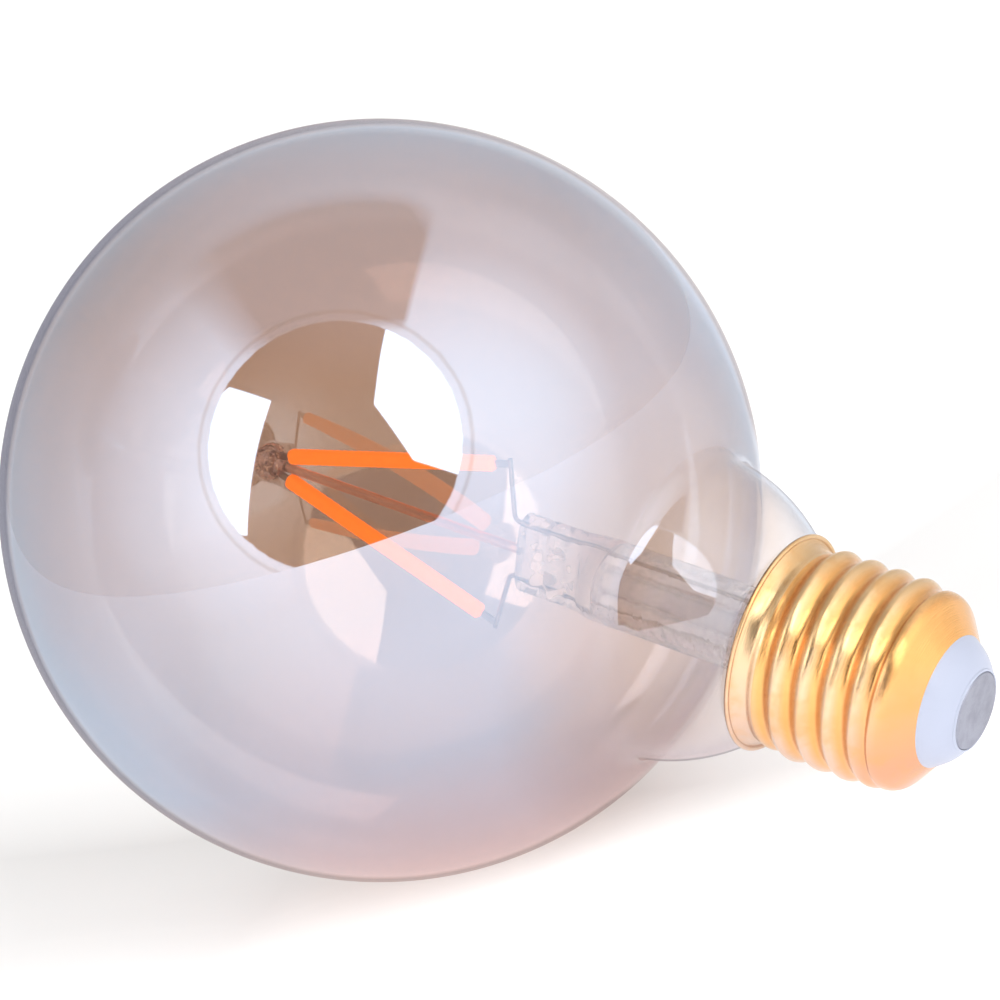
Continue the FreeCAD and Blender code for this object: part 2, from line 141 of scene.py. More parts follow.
class CapSizes(bpy.types.PropertyGroup):
    """Sizes of the rolled cap with its thread, insulator and contact."""

    height: size("Height", "From the rim to the contact", 0.027)
    wall: size("Wall", "Thickness of the sheet", 0.00035)
    rim_radius: size("Rim radius", "Half width of the flared rim", 0.01375)
    rim_bead: size("Rim bead", "Radius of the roll round the rim", 0.00032)
    flare_height: size("Flare height", "Height of the flare above the rim", 0.003)
    mouth_radius: size("Mouth radius", "Half width of the opening that the insulator fills", 0.00835)
    mouth_height: size("Mouth height", "From the rim to the opening", 0.0233)
    shoulder_radius: size("Shoulder radius", "Half width of the shoulder", 0.01255)
    shoulder_round: size("Shoulder round", "Radius of the shoulder's edge", 0.0022)
    shoulder_slope: turn("Shoulder slope", "Angle at which the shoulder's round ends", 52.4)
    shoulder_step: size("Shoulder step", "Run from the thread to the shoulder", 0.0005)
    # The shoulder's orange part is painted reflection.
    orange_start: size("Orange start", "From the rim to the orange part of the shoulder", 0.0165)
    thread_root: size("Thread root", "Half width in the thread's valleys", 0.01215)
    thread_crest: size("Thread crest", "Half width on the thread's crests", 0.0131)
    thread_pitch: size("Thread pitch", "Height of one turn", 0.003629)
    thread_turns: share("Thread turns", "Number of turns", 4.2)
    thread_start: size("Thread start", "From the rim to the start of the thread", 0.0031)
    thread_foot: size("Thread foot", "Width of the thread at its foot", 0.0031)
    thread_phase: turn("Thread phase", "Where round the cap the thread starts", 151.4)
    insulator_depth: size("Insulator depth", "How far the insulator reaches into the cap", 0.0036)
    insulator_end: size("Insulator end", "Half width of the insulator at the contact", 0.0053)
    insulator_bulge: size("Insulator bulge", "How far the cone is rounded outwards", 0.00028)
    insulator_edge: size("Insulator edge", "Radius of the insulator's end edge", 0.00025)
    contact_gap: size("Contact gap", "Gap between the contact and its recess", 0.00006)
    contact_stand: size("Contact stand", "How far the contact stands out of its recess", 0.00012)
    contact_radius: size("Contact radius", "Half width of the contact", 0.0049)
    contact_thickness: size("Contact thickness", "Height of the contact above its seat", 0.0006)
    contact_edge: size("Contact edge", "Radius of the contact's edge", 0.00025)
    shank_radius: size("Shank radius", "Half width of the contact's shank", 0.0012)
    shank_length: size("Shank length", "Length of the contact's shank", 0.005)


class StemSizes(bpy.types.PropertyGroup):
    """Sizes of the glass stem, its exhaust tube and the rod with the bead."""

    radius: size("Radius", "Half width of the flare tube", 0.0053)
    wall: size("Wall", "Thickness of the flare tube", 0.0009)
    lip_width: size("Lip width", "Width of the lip on the glass's end", 0.0008)
    pinch_face: size("Pinch face", "Height of the pinch's free end", 0.0206)
    pinch_length: size("Pinch length", "Length of the pressed stretch", 0.008)
    pinch_thickness: size("Pinch thickness", "Thickness of the pressed stretch", 0.0034)
    pinch_blend: size("Pinch blend", "Length over which the pinch becomes round", 0.0044)
    pinch_edge: size("Pinch edge", "Radius of the melted edge of the pinch", 0.0007)
    press_depth: size("Press depth", "Depth of the marks that the jaws left", 0.00022)
    press_pitch: size("Press pitch", "Spacing of those marks", 0.0027)
    lumps_end: size("Lumps end", "Height at which the pressed lumps end", 0.03)
    exhaust_radius: size("Exhaust radius", "Half width of the exhaust tube", 0.002)
    exhaust_wall: size("Exhaust wall", "Thickness of the exhaust tube", 0.0007)
    exhaust_end: size("Exhaust end", "Height of the exhaust tube's tip", 0.0679)
    exhaust_tip: size("Exhaust tip", "Length of the melted tip", 0.0026)
    rod_radius: size("Rod radius", "Half width of the rod", 0.0006)
    bead_radius: size("Bead radius", "Half width of the bead", 0.0024)
    bead_length: size("Bead length", "Length of the bead", 0.0042)
    bead_centre: size("Bead centre", "Height of the bead's middle", -0.0164)


class StripSizes(bpy.types.PropertyGroup):
    """Sizes of the two light strips."""

    length: size("Length", "Length of the coated strip", 0.031)
    width: size("Width", "Width of the strip", 0.0019)
    thickness: size("Thickness", "Thickness of the strip", 0.0016)
    spread: turn("Spread", "Angle between a strip and the lamp's axis", 16.6)
    start: size("Start", "Height of a strip's inner end", -0.0138)
    offset: size("Offset", "Distance of a strip's inner end from the axis", 0.00155)
    end_round: size("End round", "Length of the strip's rounded ends", 0.0006)
    chip_pitch: size("Chip pitch", "Spacing of the chips under the coat", 0.00105)
    chip_swell: share("Chip swell", "How much the coat swells over a chip", 0.018)


class FinishColours(bpy.types.PropertyGroup):
    """Colours of the lamp's finishes."""

    glass_pass: tint("Glass, seen through", "What the coated glass lets through", (0.88, 0.64, 0.48))
    # Painted shade: the lower half lets less light through.
    lower_shaded_pass: tint("Lower half, seen through", "What the lower half lets through", (0.81, 0.60, 0.48))
    neck_pass: tint("Neck, seen through", "What the thinly coated neck lets through", (0.98, 0.94, 0.92))
    glass_mirror: tint("Glass, mirroring", "What the coated glass mirrors", (0.44, 0.71, 1.0))
    # The rose colour serves the coat's own rose patches and a painted reflection on the lower side.
    glass_rose_and_reflection: tint("Glass, rose bloom", "Mirror colour where the coat is thicker", (0.95, 0.62, 0.56))
    # Painted shade: the dark outline.
    glass_outline_shade: tint("Glass, along its wall", "What passes at the outline", (0.47, 0.46, 0.51))
    inside_pass: tint("Inside, seen through", "What the bare inside lets through", (0.99, 0.985, 0.98))
    inside_mirror: tint("Inside, mirroring", "What the bare inside mirrors", (0.9, 0.9, 0.92))
    stem: tint("Stem", "Streaks in the pressed glass", (0.93, 0.93, 0.97))
    # Painted glints on the stem's lumps.
    stem_painted_glint: tint("Stem, glints", "Pale lumps in the pressed glass", (0.9, 0.9, 0.94))
    strip: tint("Strip", "Coat of the light strips", (0.95, 0.29, 0.03))
    # Painted glow: brighter than the studio light alone would make the coat.
    strip_painted_glow: tint("Strip glow", "Light that the coat gives back", (1.0, 0.225, 0.01))
    gold: tint("Gold", "Crests of the cap", (0.70, 0.47, 0.25))
    # Peach, orange and valley tones of the gold are painted reflection.
    gold_peach_reflection: tint("Gold, peach", "Lower side of the cap's flare", (0.65, 0.46, 0.37))
    gold_orange_reflection: tint("Gold, orange", "Lower side of the cap's shoulder", (0.60, 0.32, 0.21))
    gold_valley_reflection: tint("Gold valley", "Valleys of the cap's thread", (0.74, 0.38, 0.13))
    gold_worn: tint("Gold, worn", "Worn patches of the cap", (0.66, 0.34, 0.11))
    gold_stain: tint("Gold, stained", "Stain on the cap's rim", (0.20, 0.09, 0.04))
    insulator: tint("Insulator", "Glazed insulator", (0.385, 0.42, 0.53))
    contact: tint("Contact", "Tinned contact", (0.33, 0.34, 0.41))
    wire: tint("Wire", "Nickel leads", (0.58, 0.52, 0.48))
    rod: tint("Rod", "Amber cast of the rod", (0.86, 0.62, 0.52))
    bead: tint("Bead", "Paler cast of the bead", (0.94, 0.84, 0.84))
    bead_speck: tint("Bead, specks", "Specks melted into the bead", (0.22, 0.14, 0.12))
    # Painted glints in the bead.
    bead_painted_glint: tint("Bead, glints", "Pale specks in the bead", (0.85, 0.72, 0.64))
    bead_painted_highlight: tint("Bead, bright glints", "Palest specks in the bead", (1.0, 0.93, 0.88))
    floor: tint("Floor", "Pale floor", (0.50, 0.50, 0.50))


class StudioSettings(bpy.types.PropertyGroup):
    """Camera and light of the studio."""

    azimuth: turn("Azimuth", "Where the camera stands round the lamp", 37.571)
    elevation: turn("Elevation", "How far the camera looks down", 10.8684)
    roll: turn("Roll", "How far the camera is turned about its own axis", -19.69)
    distance: size("Distance", "From the camera to the point that it looks at", 0.858)
    aim: FloatVectorProperty(
        name="Aim", description="The point that the camera looks at, from the globe's centre", size=3,
        default=(0.011672, 0.007796, -0.004883), unit="LENGTH", precision=5,
    )
    lens: FloatProperty(
        name="Lens", description="Focal length on 36 mm film", default=247.96, unit="CAMERA",
    )
    floor_radius: size("Floor radius", "Half width of the floor", 5.0)
    tent_side: share("Tent side", "Brightness of the white tent beside and above the lamp", 0.6)
    tent_front: share("Tent front", "Brightness that the tent gains towards the camera", 1.35)
    tent_behind: share("Tent behind", "Brightness that the tent gains straight behind the lamp", 0.4)
    # Painted shadow on the table behind the lamp; the tent is darker in the same direction.
    painted_shadow_behind: share("Tent shade", "Brightness that the tent loses low behind the lamp", 0.2)
    # Painted pool of light on the table under the lamp.
    painted_light_under: share("Table light", "Brightness that the table gains under the lamp", 0.1)
    window: share("Window", "Brightness of the white panels seen in the tent's opening", 5.0)
    opening: share("Opening", "Brightness of the room behind the tent's opening", 0.07)
    room_above: share("Room above", "Brightness that the room gains upwards", 0.22)
    panel: share("Panel", "Brightness of the grey panel above", 0.56)
    opening_lean: turn("Opening lean", "How far the opening lies from the camera", 21.2)
    opening_reach: turn("Opening reach", "Half width of the opening", 37.7)
    hem_inside: turn("Hem, inside", "Half width of the hem's inner edge", 40.2)
    hem_outside: turn("Hem, outside", "Half width of the hem's outer edge", 41.4)
    hem_shade: share("Hem shade", "How much darker the hem is than the tent", 0.24)
    light_tint: tint("Light tint", "Colour of the light", (1.0, 0.985, 0.975))


# Grids of points

def arc(centre, radius, start, end, count):
    """Profile points (radius, height) at one distance from a centre, at even angles from start to end."""
    angle = np.linspace(start, end, count)
    return np.stack([centre[0] + radius * np.cos(angle), centre[1] + radius * np.sin(angle)], -1)


def straight(a, b, count):
    """Profile points at even steps from a to b."""
    step = np.linspace(0, 1, count)[:, None]
    return np.asarray(a) * (1 - step) + np.asarray(b) * step


def joined(*runs):
    """One profile from several runs, where each run starts at the end of the one before."""
    return np.concatenate([runs[0]] + [run[1:] for run in runs[1:]])


def bearing(way):
    """Angle of a direction in a profile's plane."""
    return math.atan2(way[1], way[0])


def dome(radius, height, base, count):
    """Profile points on a quarter ellipse, from its widest at the base to its tip."""
    angle = np.linspace(0, np.pi / 2, count)
    return np.stack([radius * np.cos(angle), base + height * np.sin(angle)], -1)


def around(columns):
    """Even angles once round the lamp's axis."""
    return np.linspace(0, 2 * np.pi, columns, endpoint=False)


def turned(radius, height, angle):
    """Points at a radius r, height z and angle a: (r cos a, r sin a, z)."""
    return np.stack(np.broadcast_arrays(radius * np.cos(angle), radius * np.sin(angle), height), -1)


def revolved(profile, columns):
    """Each profile point at every angle round the axis."""
    return turned(profile[:, 0, None], profile[:, 1, None], around(columns))


def smooth(value):
    """A soft step from 0 to 1: 3 t squared less 2 t cubed, with t held between 0 and 1."""
    held = np.clip(value, 0, 1)
    return held * held * (3 - 2 * held)


def globe_centre():
    """Where the globe's centre lies: one lamp length less a globe radius before the contact."""
    glass = bpy.context.scene.bulb_glass
    reach = glass.overall_length - glass.globe_diameter / 2
    return np.array(contact_mount["pos_m"]) - lamp_axis * reach


def add_piece(name, node, grid, materials, ring=False, finish_rows=None, crest=None, sharp=40):
    """A closed mesh from a grid of points, rows by columns, in the lamp's coordinates.

    It rides with the lamp, shows in place of the solid in node and has the named slot. Columns close
    round on themselves. Rows close too where ring is set, and otherwise the first and the last row are
    single poles. finish_rows gives each row's material, and crest a value for each point. An edge that
    bends by more than sharp, in degrees, stays sharp.
    """
    rows, columns = grid.shape[:2]
    index = np.arange(rows * columns).reshape(rows, columns)
    if not ring:
        index[0] = index[0, 0]
        index[-1] = index[-1, 0]
    used, packed = np.unique(index, return_inverse=True)
    index = packed.reshape(rows, columns)
    points = grid.reshape(-1, 3)[used] @ lamp_turn + globe_centre()

    bands = rows if ring else rows - 1
    low = index[:bands]
    high = np.roll(index, -1, 0)[:bands]
    corners = np.stack([low, np.roll(low, -1, 1), np.roll(high, -1, 1), high], -1).reshape(-1, 4)
    band, column = np.mgrid[0:bands, 0:columns]
    across = np.stack([column, column + 1, column + 1, column], -1).reshape(-1, 4) / columns
    along = np.stack([band, band, band + 1, band + 1], -1).reshape(-1, 4) / bands
    keep = np.ones(corners.shape, bool)
    keep[corners[:, 0] == corners[:, 1], 1] = False
    keep[corners[:, 2] == corners[:, 3], 3] = False

    a, b, c, d = (points[corners[:, k]] for k in range(4))
    volume = np.einsum("ij,ij->", a, np.cross(b, c)) + np.einsum("ij,ij->", a, np.cross(c, d))
    order = slice(None) if volume > 0 else slice(None, None, -1)
    corners, across, along, keep = (part[:, order] for part in (corners, across, along, keep))

    mesh = bpy.data.meshes.new(name)
    sides = keep.sum(1)
    mesh.vertices.add(len(points))
    mesh.loops.add(int(sides.sum()))
    mesh.polygons.add(len(corners))
    mesh.vertices.foreach_set("co", points.ravel())
    mesh.loops.foreach_set("vertex_index", corners[keep])
    mesh.polygons.foreach_set("loop_start", np.concatenate([[0], np.cumsum(sides)[:-1]]))
    if finish_rows is not None:
        mesh.polygons.foreach_set("material_index", np.repeat(finish_rows[:bands], columns))
    mesh.update(calc_edges=True)
    layer = mesh.uv_layers.new(name="surface")
    layer.data.foreach_set("uv", np.stack([across[keep], along[keep]], -1).ravel())
    if crest is not None:
        values = mesh.attributes.new("crest", "FLOAT", "POINT")
        values.data.foreach_set("value", crest.ravel()[used].astype(np.float32))
    mesh.polygons.foreach_set("use_smooth", np.ones(len(corners), bool))
    mesh.set_sharp_from_angle(angle=math.radians(sharp))
    if mesh.validate():
        raise ValueError(f"{name} has faulty faces")
    for material in materials:
        mesh.materials.append(material)
    piece = bpy.data.objects.new(name, mesh)
    bpy.context.scene.collection.objects.link(piece)
    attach(piece, "root")
    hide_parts(node)


# Profiles of the lamp's pieces

def lamp_heights():
    """Heights of the contact's face, the cap's rim and mouth and the end of the glass's tail."""
    glass = bpy.context.scene.bulb_glass
    cap = bpy.context.scene.bulb_cap
    face = glass.overall_length - glass.globe_diameter / 2
    rim = face - cap.height
    return SimpleNamespace(
        face=face, rim=rim, mouth=rim + cap.mouth_height, tail_end=rim + glass.tail_depth,
    )


def glass_profile(inset, counts):
    """The glass from its pole to its tail, in arcs that each touch the next.

    They are the globe, a hollow fillet, the neck and a hollow that follows the cap's flare at a clearance,
    and a straight tail ends them. The fillet's centre lies one globe radius plus one fillet radius from the
    globe's centre, and one neck radius plus one fillet radius from the neck's. inset moves the profile
    inwards, and counts holds the points on the globe, on each hollow, on the neck and on the tail.
    """
    glass = bpy.context.scene.bulb_glass
    flare, flare_radius = flare_circle()
    follow = flare_radius + bpy.context.scene.bulb_cap.wall + glass.cap_clearance
    globe_radius = glass.globe_diameter / 2
    neck_core = glass.neck_radius - glass.neck_arc
    drop = math.sqrt((glass.neck_arc + follow) ** 2 - (flare[0] - neck_core) ** 2)
    neck = np.array([neck_core, flare[1] - drop])
    from_globe = globe_radius + glass.neck_fillet
    from_neck = glass.neck_arc + glass.neck_fillet
    span = np.hypot(*neck)
    way = neck / span
    ahead = (from_globe ** 2 - from_neck ** 2 + span ** 2) / (2 * span)
    hollow = way * ahead + np.array([way[1], -way[0]]) * math.sqrt(from_globe ** 2 - ahead ** 2)

    leave_globe = bearing(hollow)
    join_neck = bearing(hollow - neck)
    leave_neck = bearing(flare - neck)
    tail = tail_radius() - inset
    return joined(
        arc((0, 0), globe_radius - inset, -np.pi / 2, leave_globe, counts[0]),
        arc(hollow, glass.neck_fillet + inset, leave_globe - np.pi, join_neck - np.pi, counts[1]),
        arc(neck, glass.neck_arc - inset, join_neck, leave_neck, counts[2]),
        arc(flare, follow + inset, leave_neck + np.pi, np.pi, counts[1]),
        straight((tail, flare[1]), (tail, lamp_heights().tail_end), counts[3]),
    )


def flare_circle():
    """Centre and radius of the cap's flare, an arc that leaves the thread's root upright.

    To end at the rim, its radius is its spread squared plus its height squared, over twice its spread.
    """
    cap = bpy.context.scene.bulb_cap
    spread = cap.rim_radius - cap.thread_root
    radius = (spread ** 2 + cap.flare_height ** 2) / (2 * spread)
    return np.array([cap.thread_root + radius, lamp_heights().rim + cap.flare_height]), radius


def tail_radius():
    """Half width of the glass inside the cap."""
    cap = bpy.context.scene.bulb_cap
    return cap.thread_root - cap.wall - bpy.context.scene.bulb_glass.cap_clearance


def cap_profile(inset, thread_rows):
    """The cap from its flare to its mouth: an arc, the thread's root, a step, the shoulder and its cone."""
    cap = bpy.context.scene.bulb_cap
    heights = lamp_heights()
    flare_centre, flare = flare_circle()
    flare_start = np.pi + math.asin((cap.flare_height - 2 * cap.rim_bead) / (flare + inset))
    core = cap.shoulder_radius - cap.shoulder_round
    slope = cap.shoulder_slope
    cone_radius = core + cap.shoulder_round * math.cos(slope)
    cone_start = heights.mouth - (cone_radius - cap.mouth_radius) / math.tan(slope)
    shoulder = (core, cone_start - cap.shoulder_round * math.sin(slope))
    root = cap.thread_root - inset
    step = (root, shoulder[1] - cap.shoulder_step)
    bend = arc(shoulder, cap.shoulder_round - inset, 0, slope, 16)
    end = (cap.mouth_radius, bend[-1, 1] + (bend[-1, 0] - cap.mouth_radius) / math.tan(slope))
    return joined(
        arc(flare_centre, flare + inset, flare_start, np.pi, 16),
        straight((root, heights.rim + cap.flare_height), step, thread_rows),
        straight(step, bend[0], 4),
        bend,
        straight(bend[-1], end, 10),
    )


def thread_wave(height, angle):
    """The thread, from 0 in a valley to 1 on a crest: half of 1 plus the cosine of the turns from a crest.

    It rises from nothing within a pitch at its start and runs out within a pitch at its end.
    """
    cap = bpy.context.scene.bulb_cap
    start = lamp_heights().rim + cap.thread_start
    low = start - cap.thread_foot / 2
    high = start + cap.thread_turns * cap.thread_pitch + cap.thread_foot / 2
    turns = (height - start) / cap.thread_pitch - (angle - cap.thread_phase) / (2 * np.pi)
    fade = smooth((height - low) / cap.thread_pitch) * smooth((high - height) / cap.thread_pitch)
    return fade * (0.5 + 0.5 * np.cos(2 * np.pi * turns))


def slot_section(half_width, half_thickness, angle):
    """A flat slot: a circle of the half thickness whose two halves are pushed apart along the width.

    The push follows a steep hyperbolic tangent of the cosine. Where both halves are equal it is a circle.
    """
    steep = 3.5
    push = np.tanh(steep * np.cos(angle)) / math.tanh(steep)
    across = (half_width - half_thickness) * push + half_thickness * np.cos(angle)
    return np.stack([across, half_thickness * np.sin(angle)], -1)


def strip_grid(way, columns):
    """A light strip: a rounded oblong section carried along the strip's straight middle line.

    The section is a superellipse of power 3. It swells a little over each chip under the coat, and shrinks
    as a quarter ellipse over the rounded ends.
    """
    strip = bpy.context.scene.bulb_strip
    end = strip.end_round * (1 - np.cos(np.linspace(0, np.pi / 2, 8)))
    middle = np.linspace(strip.end_round, strip.length - strip.end_round, 180)
    rows = np.concatenate([end, middle[1:-1], strip.length - end[::-1]])
    inward = np.clip(np.minimum(rows, strip.length - rows) / strip.end_round, 0, 1)
    swell = 1 + strip.chip_swell * np.cos(2 * np.pi * rows / strip.chip_pitch)
    scale = np.sqrt(1 - (1 - inward) ** 2) * swell
    angle = around(columns)
    power = 2 / 3
    across = np.sign(np.cos(angle)) * np.abs(np.cos(angle)) ** power * strip.width / 2
    deep = np.sign(np.sin(angle)) * np.abs(np.sin(angle)) ** power * strip.thickness / 2
    spread = way * strip.spread
    along = np.array([math.sin(spread), 0, math.cos(spread)])
    aside = np.array([math.cos(spread), 0, -math.sin(spread)])
    line = np.array([way * strip.offset, 0, strip.start]) + rows[:, None] * along
    section = across[:, None] * aside + deep[:, None] * np.array([0, 1, 0])
    return line[:, None] + scale[:, None, None] * section


# Shader maths

class Signal:
    """An output of a node. An expression on signals adds the Math nodes that work it out."""

    def __init__(self, shader, socket):
        self.shader = shader
        self.socket = socket

    def worked(self, operation, first, second):
        """One Math node on two signals or numbers."""
        return self.shader.add("ShaderNodeMath", {"operation": operation}, {0: first, 1: second})

    def __add__(self, other):
        return self.worked("ADD", self, other)

    def __sub__(self, other):
        return self.worked("SUBTRACT", self, other)

    def __rsub__(self, other):
        return self.worked("SUBTRACT", other, self)

    def __mul__(self, other):
        return self.worked("MULTIPLY", self, other)

    def __truediv__(self, other):
        return self.worked("DIVIDE", self, other)

    def __pow__(self, other):
        return self.worked("POWER", self, other)

    __radd__ = __add__
    __rmul__ = __mul__


class Shader:
    """The node tree of a material or a world, filled from Python expressions."""

    def __init__(self, owner):
        owner.use_nodes = True
        owner.node_tree.nodes.clear()
        self.owner = owner

    def add(self, kind, settings=None, inputs=None, output=0):
        """One node: its settings first, then the values or links of its sockets. Gives the named output.

        A colour is given by its three channels.
        """
        tree = self.owner.node_tree
        node = tree.nodes.new(kind)
        for name, value in (settings or {}).items():
            setattr(node, name, value)
        for name, value in (inputs or {}).items():
            socket = node.inputs[name]
            if isinstance(value, Signal):
                tree.links.new(value.socket, socket)
            else:
                socket.default_value = (*value, 1.0) if socket.type == "RGBA" else value
        return Signal(self, node.outputs[output]) if len(node.outputs) else None

    def clamp(self, value):
        """A value held between 0 and 1."""
        return self.add("ShaderNodeClamp", {}, {"Value": value})

    def step(self, value, edge, softness):
        """A ramp from 0 to 1 as value passes an edge, over the given softness."""
        return self.clamp((value - (edge - softness / 2)) / softness)

    def below(self, value, edge, softness):
        """A ramp from 1 to 0 as value passes an edge, over the given softness."""
        return 1 - self.step(value, edge, softness)

    def mix(self, factor, first, second):
        """One colour turned into another by a factor. The node keeps its colours in sockets 6 and 7."""
        return self.add("ShaderNodeMix", {"data_type": "RGBA"}, {0: factor, 6: first, 7: second}, 2)

    def blend(self, factor, first, second):
        """One surface turned into another by a factor."""
        return self.add("ShaderNodeMixShader", {}, {0: factor, 1: first, 2: second})

    def dot(self, vector, constant):
        """How far a vector reaches along a constant one."""
        inputs = {0: vector, 1: constant}
        return self.add("ShaderNodeVectorMath", {"operation": "DOT_PRODUCT"}, inputs, "Value")

    def facing(self):
        """From 0 where the surface faces the eye to 1 at its outline."""
        return self.add("ShaderNodeLayerWeight", {}, {"Blend": 0.5}, "Facing")

    def noise(self, vector, scale, detail=3.0, roughness=0.5):
        """A soft cloud of values from 0 to 1."""
        inputs = {"Vector": vector, "Scale": scale, "Detail": detail, "Roughness": roughness}
        return self.add("ShaderNodeTexNoise", {}, inputs, "Fac")

    def place(self, kind):
        """Coordinates of the named kind."""
        return self.add("ShaderNodeTexCoord", {}, {}, kind)

    def lamp_place(self):
        """Object coordinates, turned and moved into the lamp's own."""
        angles = Matrix(lamp_turn.T.tolist()).to_euler()
        inputs = {"Vector": self.place("Object"), "Location": globe_centre(), "Rotation": angles}
        return self.add("ShaderNodeMapping", {"vector_type": "TEXTURE"}, inputs)

    def stretched(self, place, scale):
        """Coordinates times a factor each way."""
        return self.add("ShaderNodeMapping", {}, {"Vector": place, "Scale": scale})

    def bump(self, height, distance, strength):
        """A normal that follows a height, where distance is that of the height 1, in metres."""
        inputs = {"Height": height, "Distance": distance, "Strength": strength}
        return self.add("ShaderNodeBump", {}, inputs)

    def passing(self, colour):
        """A surface that lets light of one colour straight through."""
        return self.add("ShaderNodeBsdfTransparent", {}, {"Color": colour})

    def principled(self, **inputs):
        """The Principled shader, with its sockets named in lower case."""
        named = {}
        for name, value in inputs.items():
            title = name.replace("_", " ").title()
            named[title.replace("Ior", "IOR")] = value
        return self.add("ShaderNodeBsdfPrincipled", {}, named)

    def finish(self, surface):
        """Gives the material this surface, and hands the material back."""
        self.add("ShaderNodeOutputMaterial", {}, {"Surface": surface})
        return self.owner


def new_finish(name):
    """The shader of a new material, the places on it in the lamp's coordinates, and the lamp's colours."""
    shader = Shader(bpy.data.materials.new(name))
    return shader, shader.lamp_place(), bpy.context.scene.bulb_colours


def shaded(colour, factor):
    """A colour made darker, or paler up to full."""
    return [min(1.0, channel * factor) for channel in colour]


# Finishes

def coated_glass():
    """Smoke glass with a half-mirroring coat.

    The mirrored share grows with the cube of how far the surface turns from the eye. The coat is rose in
    patches and thin on the neck. Its lower side is rose as well: a painted warm reflection. The lower half
    lets cooler light through: a painted shade of the floor behind it. The outline, where one looks along
    the wall, is dark with painted shade: most of all at the crown, and not at the neck's root.
    """
    coat = bpy.context.scene.bulb_coat
    shader, place, colours = new_finish("coated_glass")
    facing = shader.facing()
    height = shader.dot(place, lengthwise)
    neck = shader.step(height, coat.neck_start, softness=0.012)
    # Painted dark outline, as painted shade: strongest at the crown, none at the neck's root.
    crown = shader.below(height, coat.crown_end, softness=0.05)
    root_start = shader.step(height, coat.root_start, softness=0.002)
    root_end = shader.step(height, coat.root_end, softness=0.002)
    outline = shader.step(facing + crown * 0.08, edge=0.85, softness=0.06)
    outline = outline * (crown * 0.45 + 0.55) * (1 - root_start * (1 - root_end))

    # Painted warm reflection on the lower side, added to the coat's own rose patches.
    painted_floor_reflection = shader.step(shader.dot(place, (-0.9, 0, 0.44)), coat.painted_rose_start, softness=0.02)
    patches = shader.step(shader.noise(place, scale=22.0, detail=2.0), edge=0.56, softness=0.5)
    bloom = patches * coat.rose_patches + painted_floor_reflection * coat.painted_rose_below
    mirror = shader.principled(
        base_color=shader.mix(bloom, colours.glass_mirror, colours.glass_rose_and_reflection),
        metallic=1.0,
        roughness=shader.noise(place, scale=40.0) * 0.012 + 0.010,
    )
    # Painted shade: the lower half lets less light through.
    painted_shade_below = shader.step(shader.dot(place, downward), coat.painted_shade_start, softness=0.025)
    passing = shader.passing(colours.glass_pass)
    passing = shader.blend(painted_shade_below, passing, shader.passing(colours.lower_shaded_pass))
    passing = shader.blend(neck, passing, shader.passing(colours.neck_pass))
    # Painted shade at the outline.
    passing = shader.blend(outline, passing, shader.passing(colours.glass_outline_shade))
    uneven = shader.noise(place, scale=30.0, detail=2.0) * coat.uneven_share
    mirrored = facing ** 3.0 * coat.outline_share + coat.face_share + uneven - neck * coat.neck_loss
    mirrored = shader.clamp(mirrored) * (1 - outline * 0.9)
    return shader.finish(shader.blend(mirrored, passing, mirror))


def bare_glass():
    """The uncoated inside of the globe: clear, with the faint mirror of plain glass."""
    shader, place, colours = new_finish("bare_glass")
    mirror = shader.principled(
        base_color=colours.inside_mirror,
        metallic=1.0,
        roughness=shader.noise(place, scale=40.0) * 0.01 + 0.01,
    )
    mirrored = shader.clamp(shader.facing() ** 5.0 * 0.5 + 0.04)
    return shader.finish(shader.blend(mirrored, shader.passing(colours.inside_pass), mirror))


def clear_glass():
    """Pressed clear glass: soft waves and streaks, and lumps with painted pale glints where jaws closed on
    it.
    """
    stem = bpy.context.scene.bulb_stem
    shader, place, colours = new_finish("clear_glass")
    streaks = shader.noise(shader.stretched(place, (0.25, 0.25, 1.6)), scale=900.0, roughness=0.6)
    waves = shader.noise(place, scale=260.0, detail=2.0)
    pressed = shader.below(shader.dot(place, lengthwise), stem.lumps_end, softness=0.003)
    lumps = shader.noise(place, scale=480.0, detail=1.0) * pressed
    glass = shader.principled(
        base_color=shader.mix(shader.step(streaks, edge=0.55, softness=0.3), colours.stem, white),
        roughness=shader.noise(place, scale=300.0) * 0.04 + 0.01,
        ior=1.2,
        transmission_weight=0.86,
        normal=shader.bump(waves + streaks * 0.6 + lumps * 1.6, distance=0.0005, strength=0.8),
    )
    # Painted glints: a pale opaque surface mixed in over the lumps.
    painted_glint = shader.principled(
        base_color=shader.mix(streaks, colours.stem_painted_glint, white),
        roughness=waves * 0.2 + 0.1,
    )
    marked = shader.step(lumps, edge=0.60, softness=0.06) * 0.85
    return shader.finish(shader.blend(marked, glass, painted_glint))


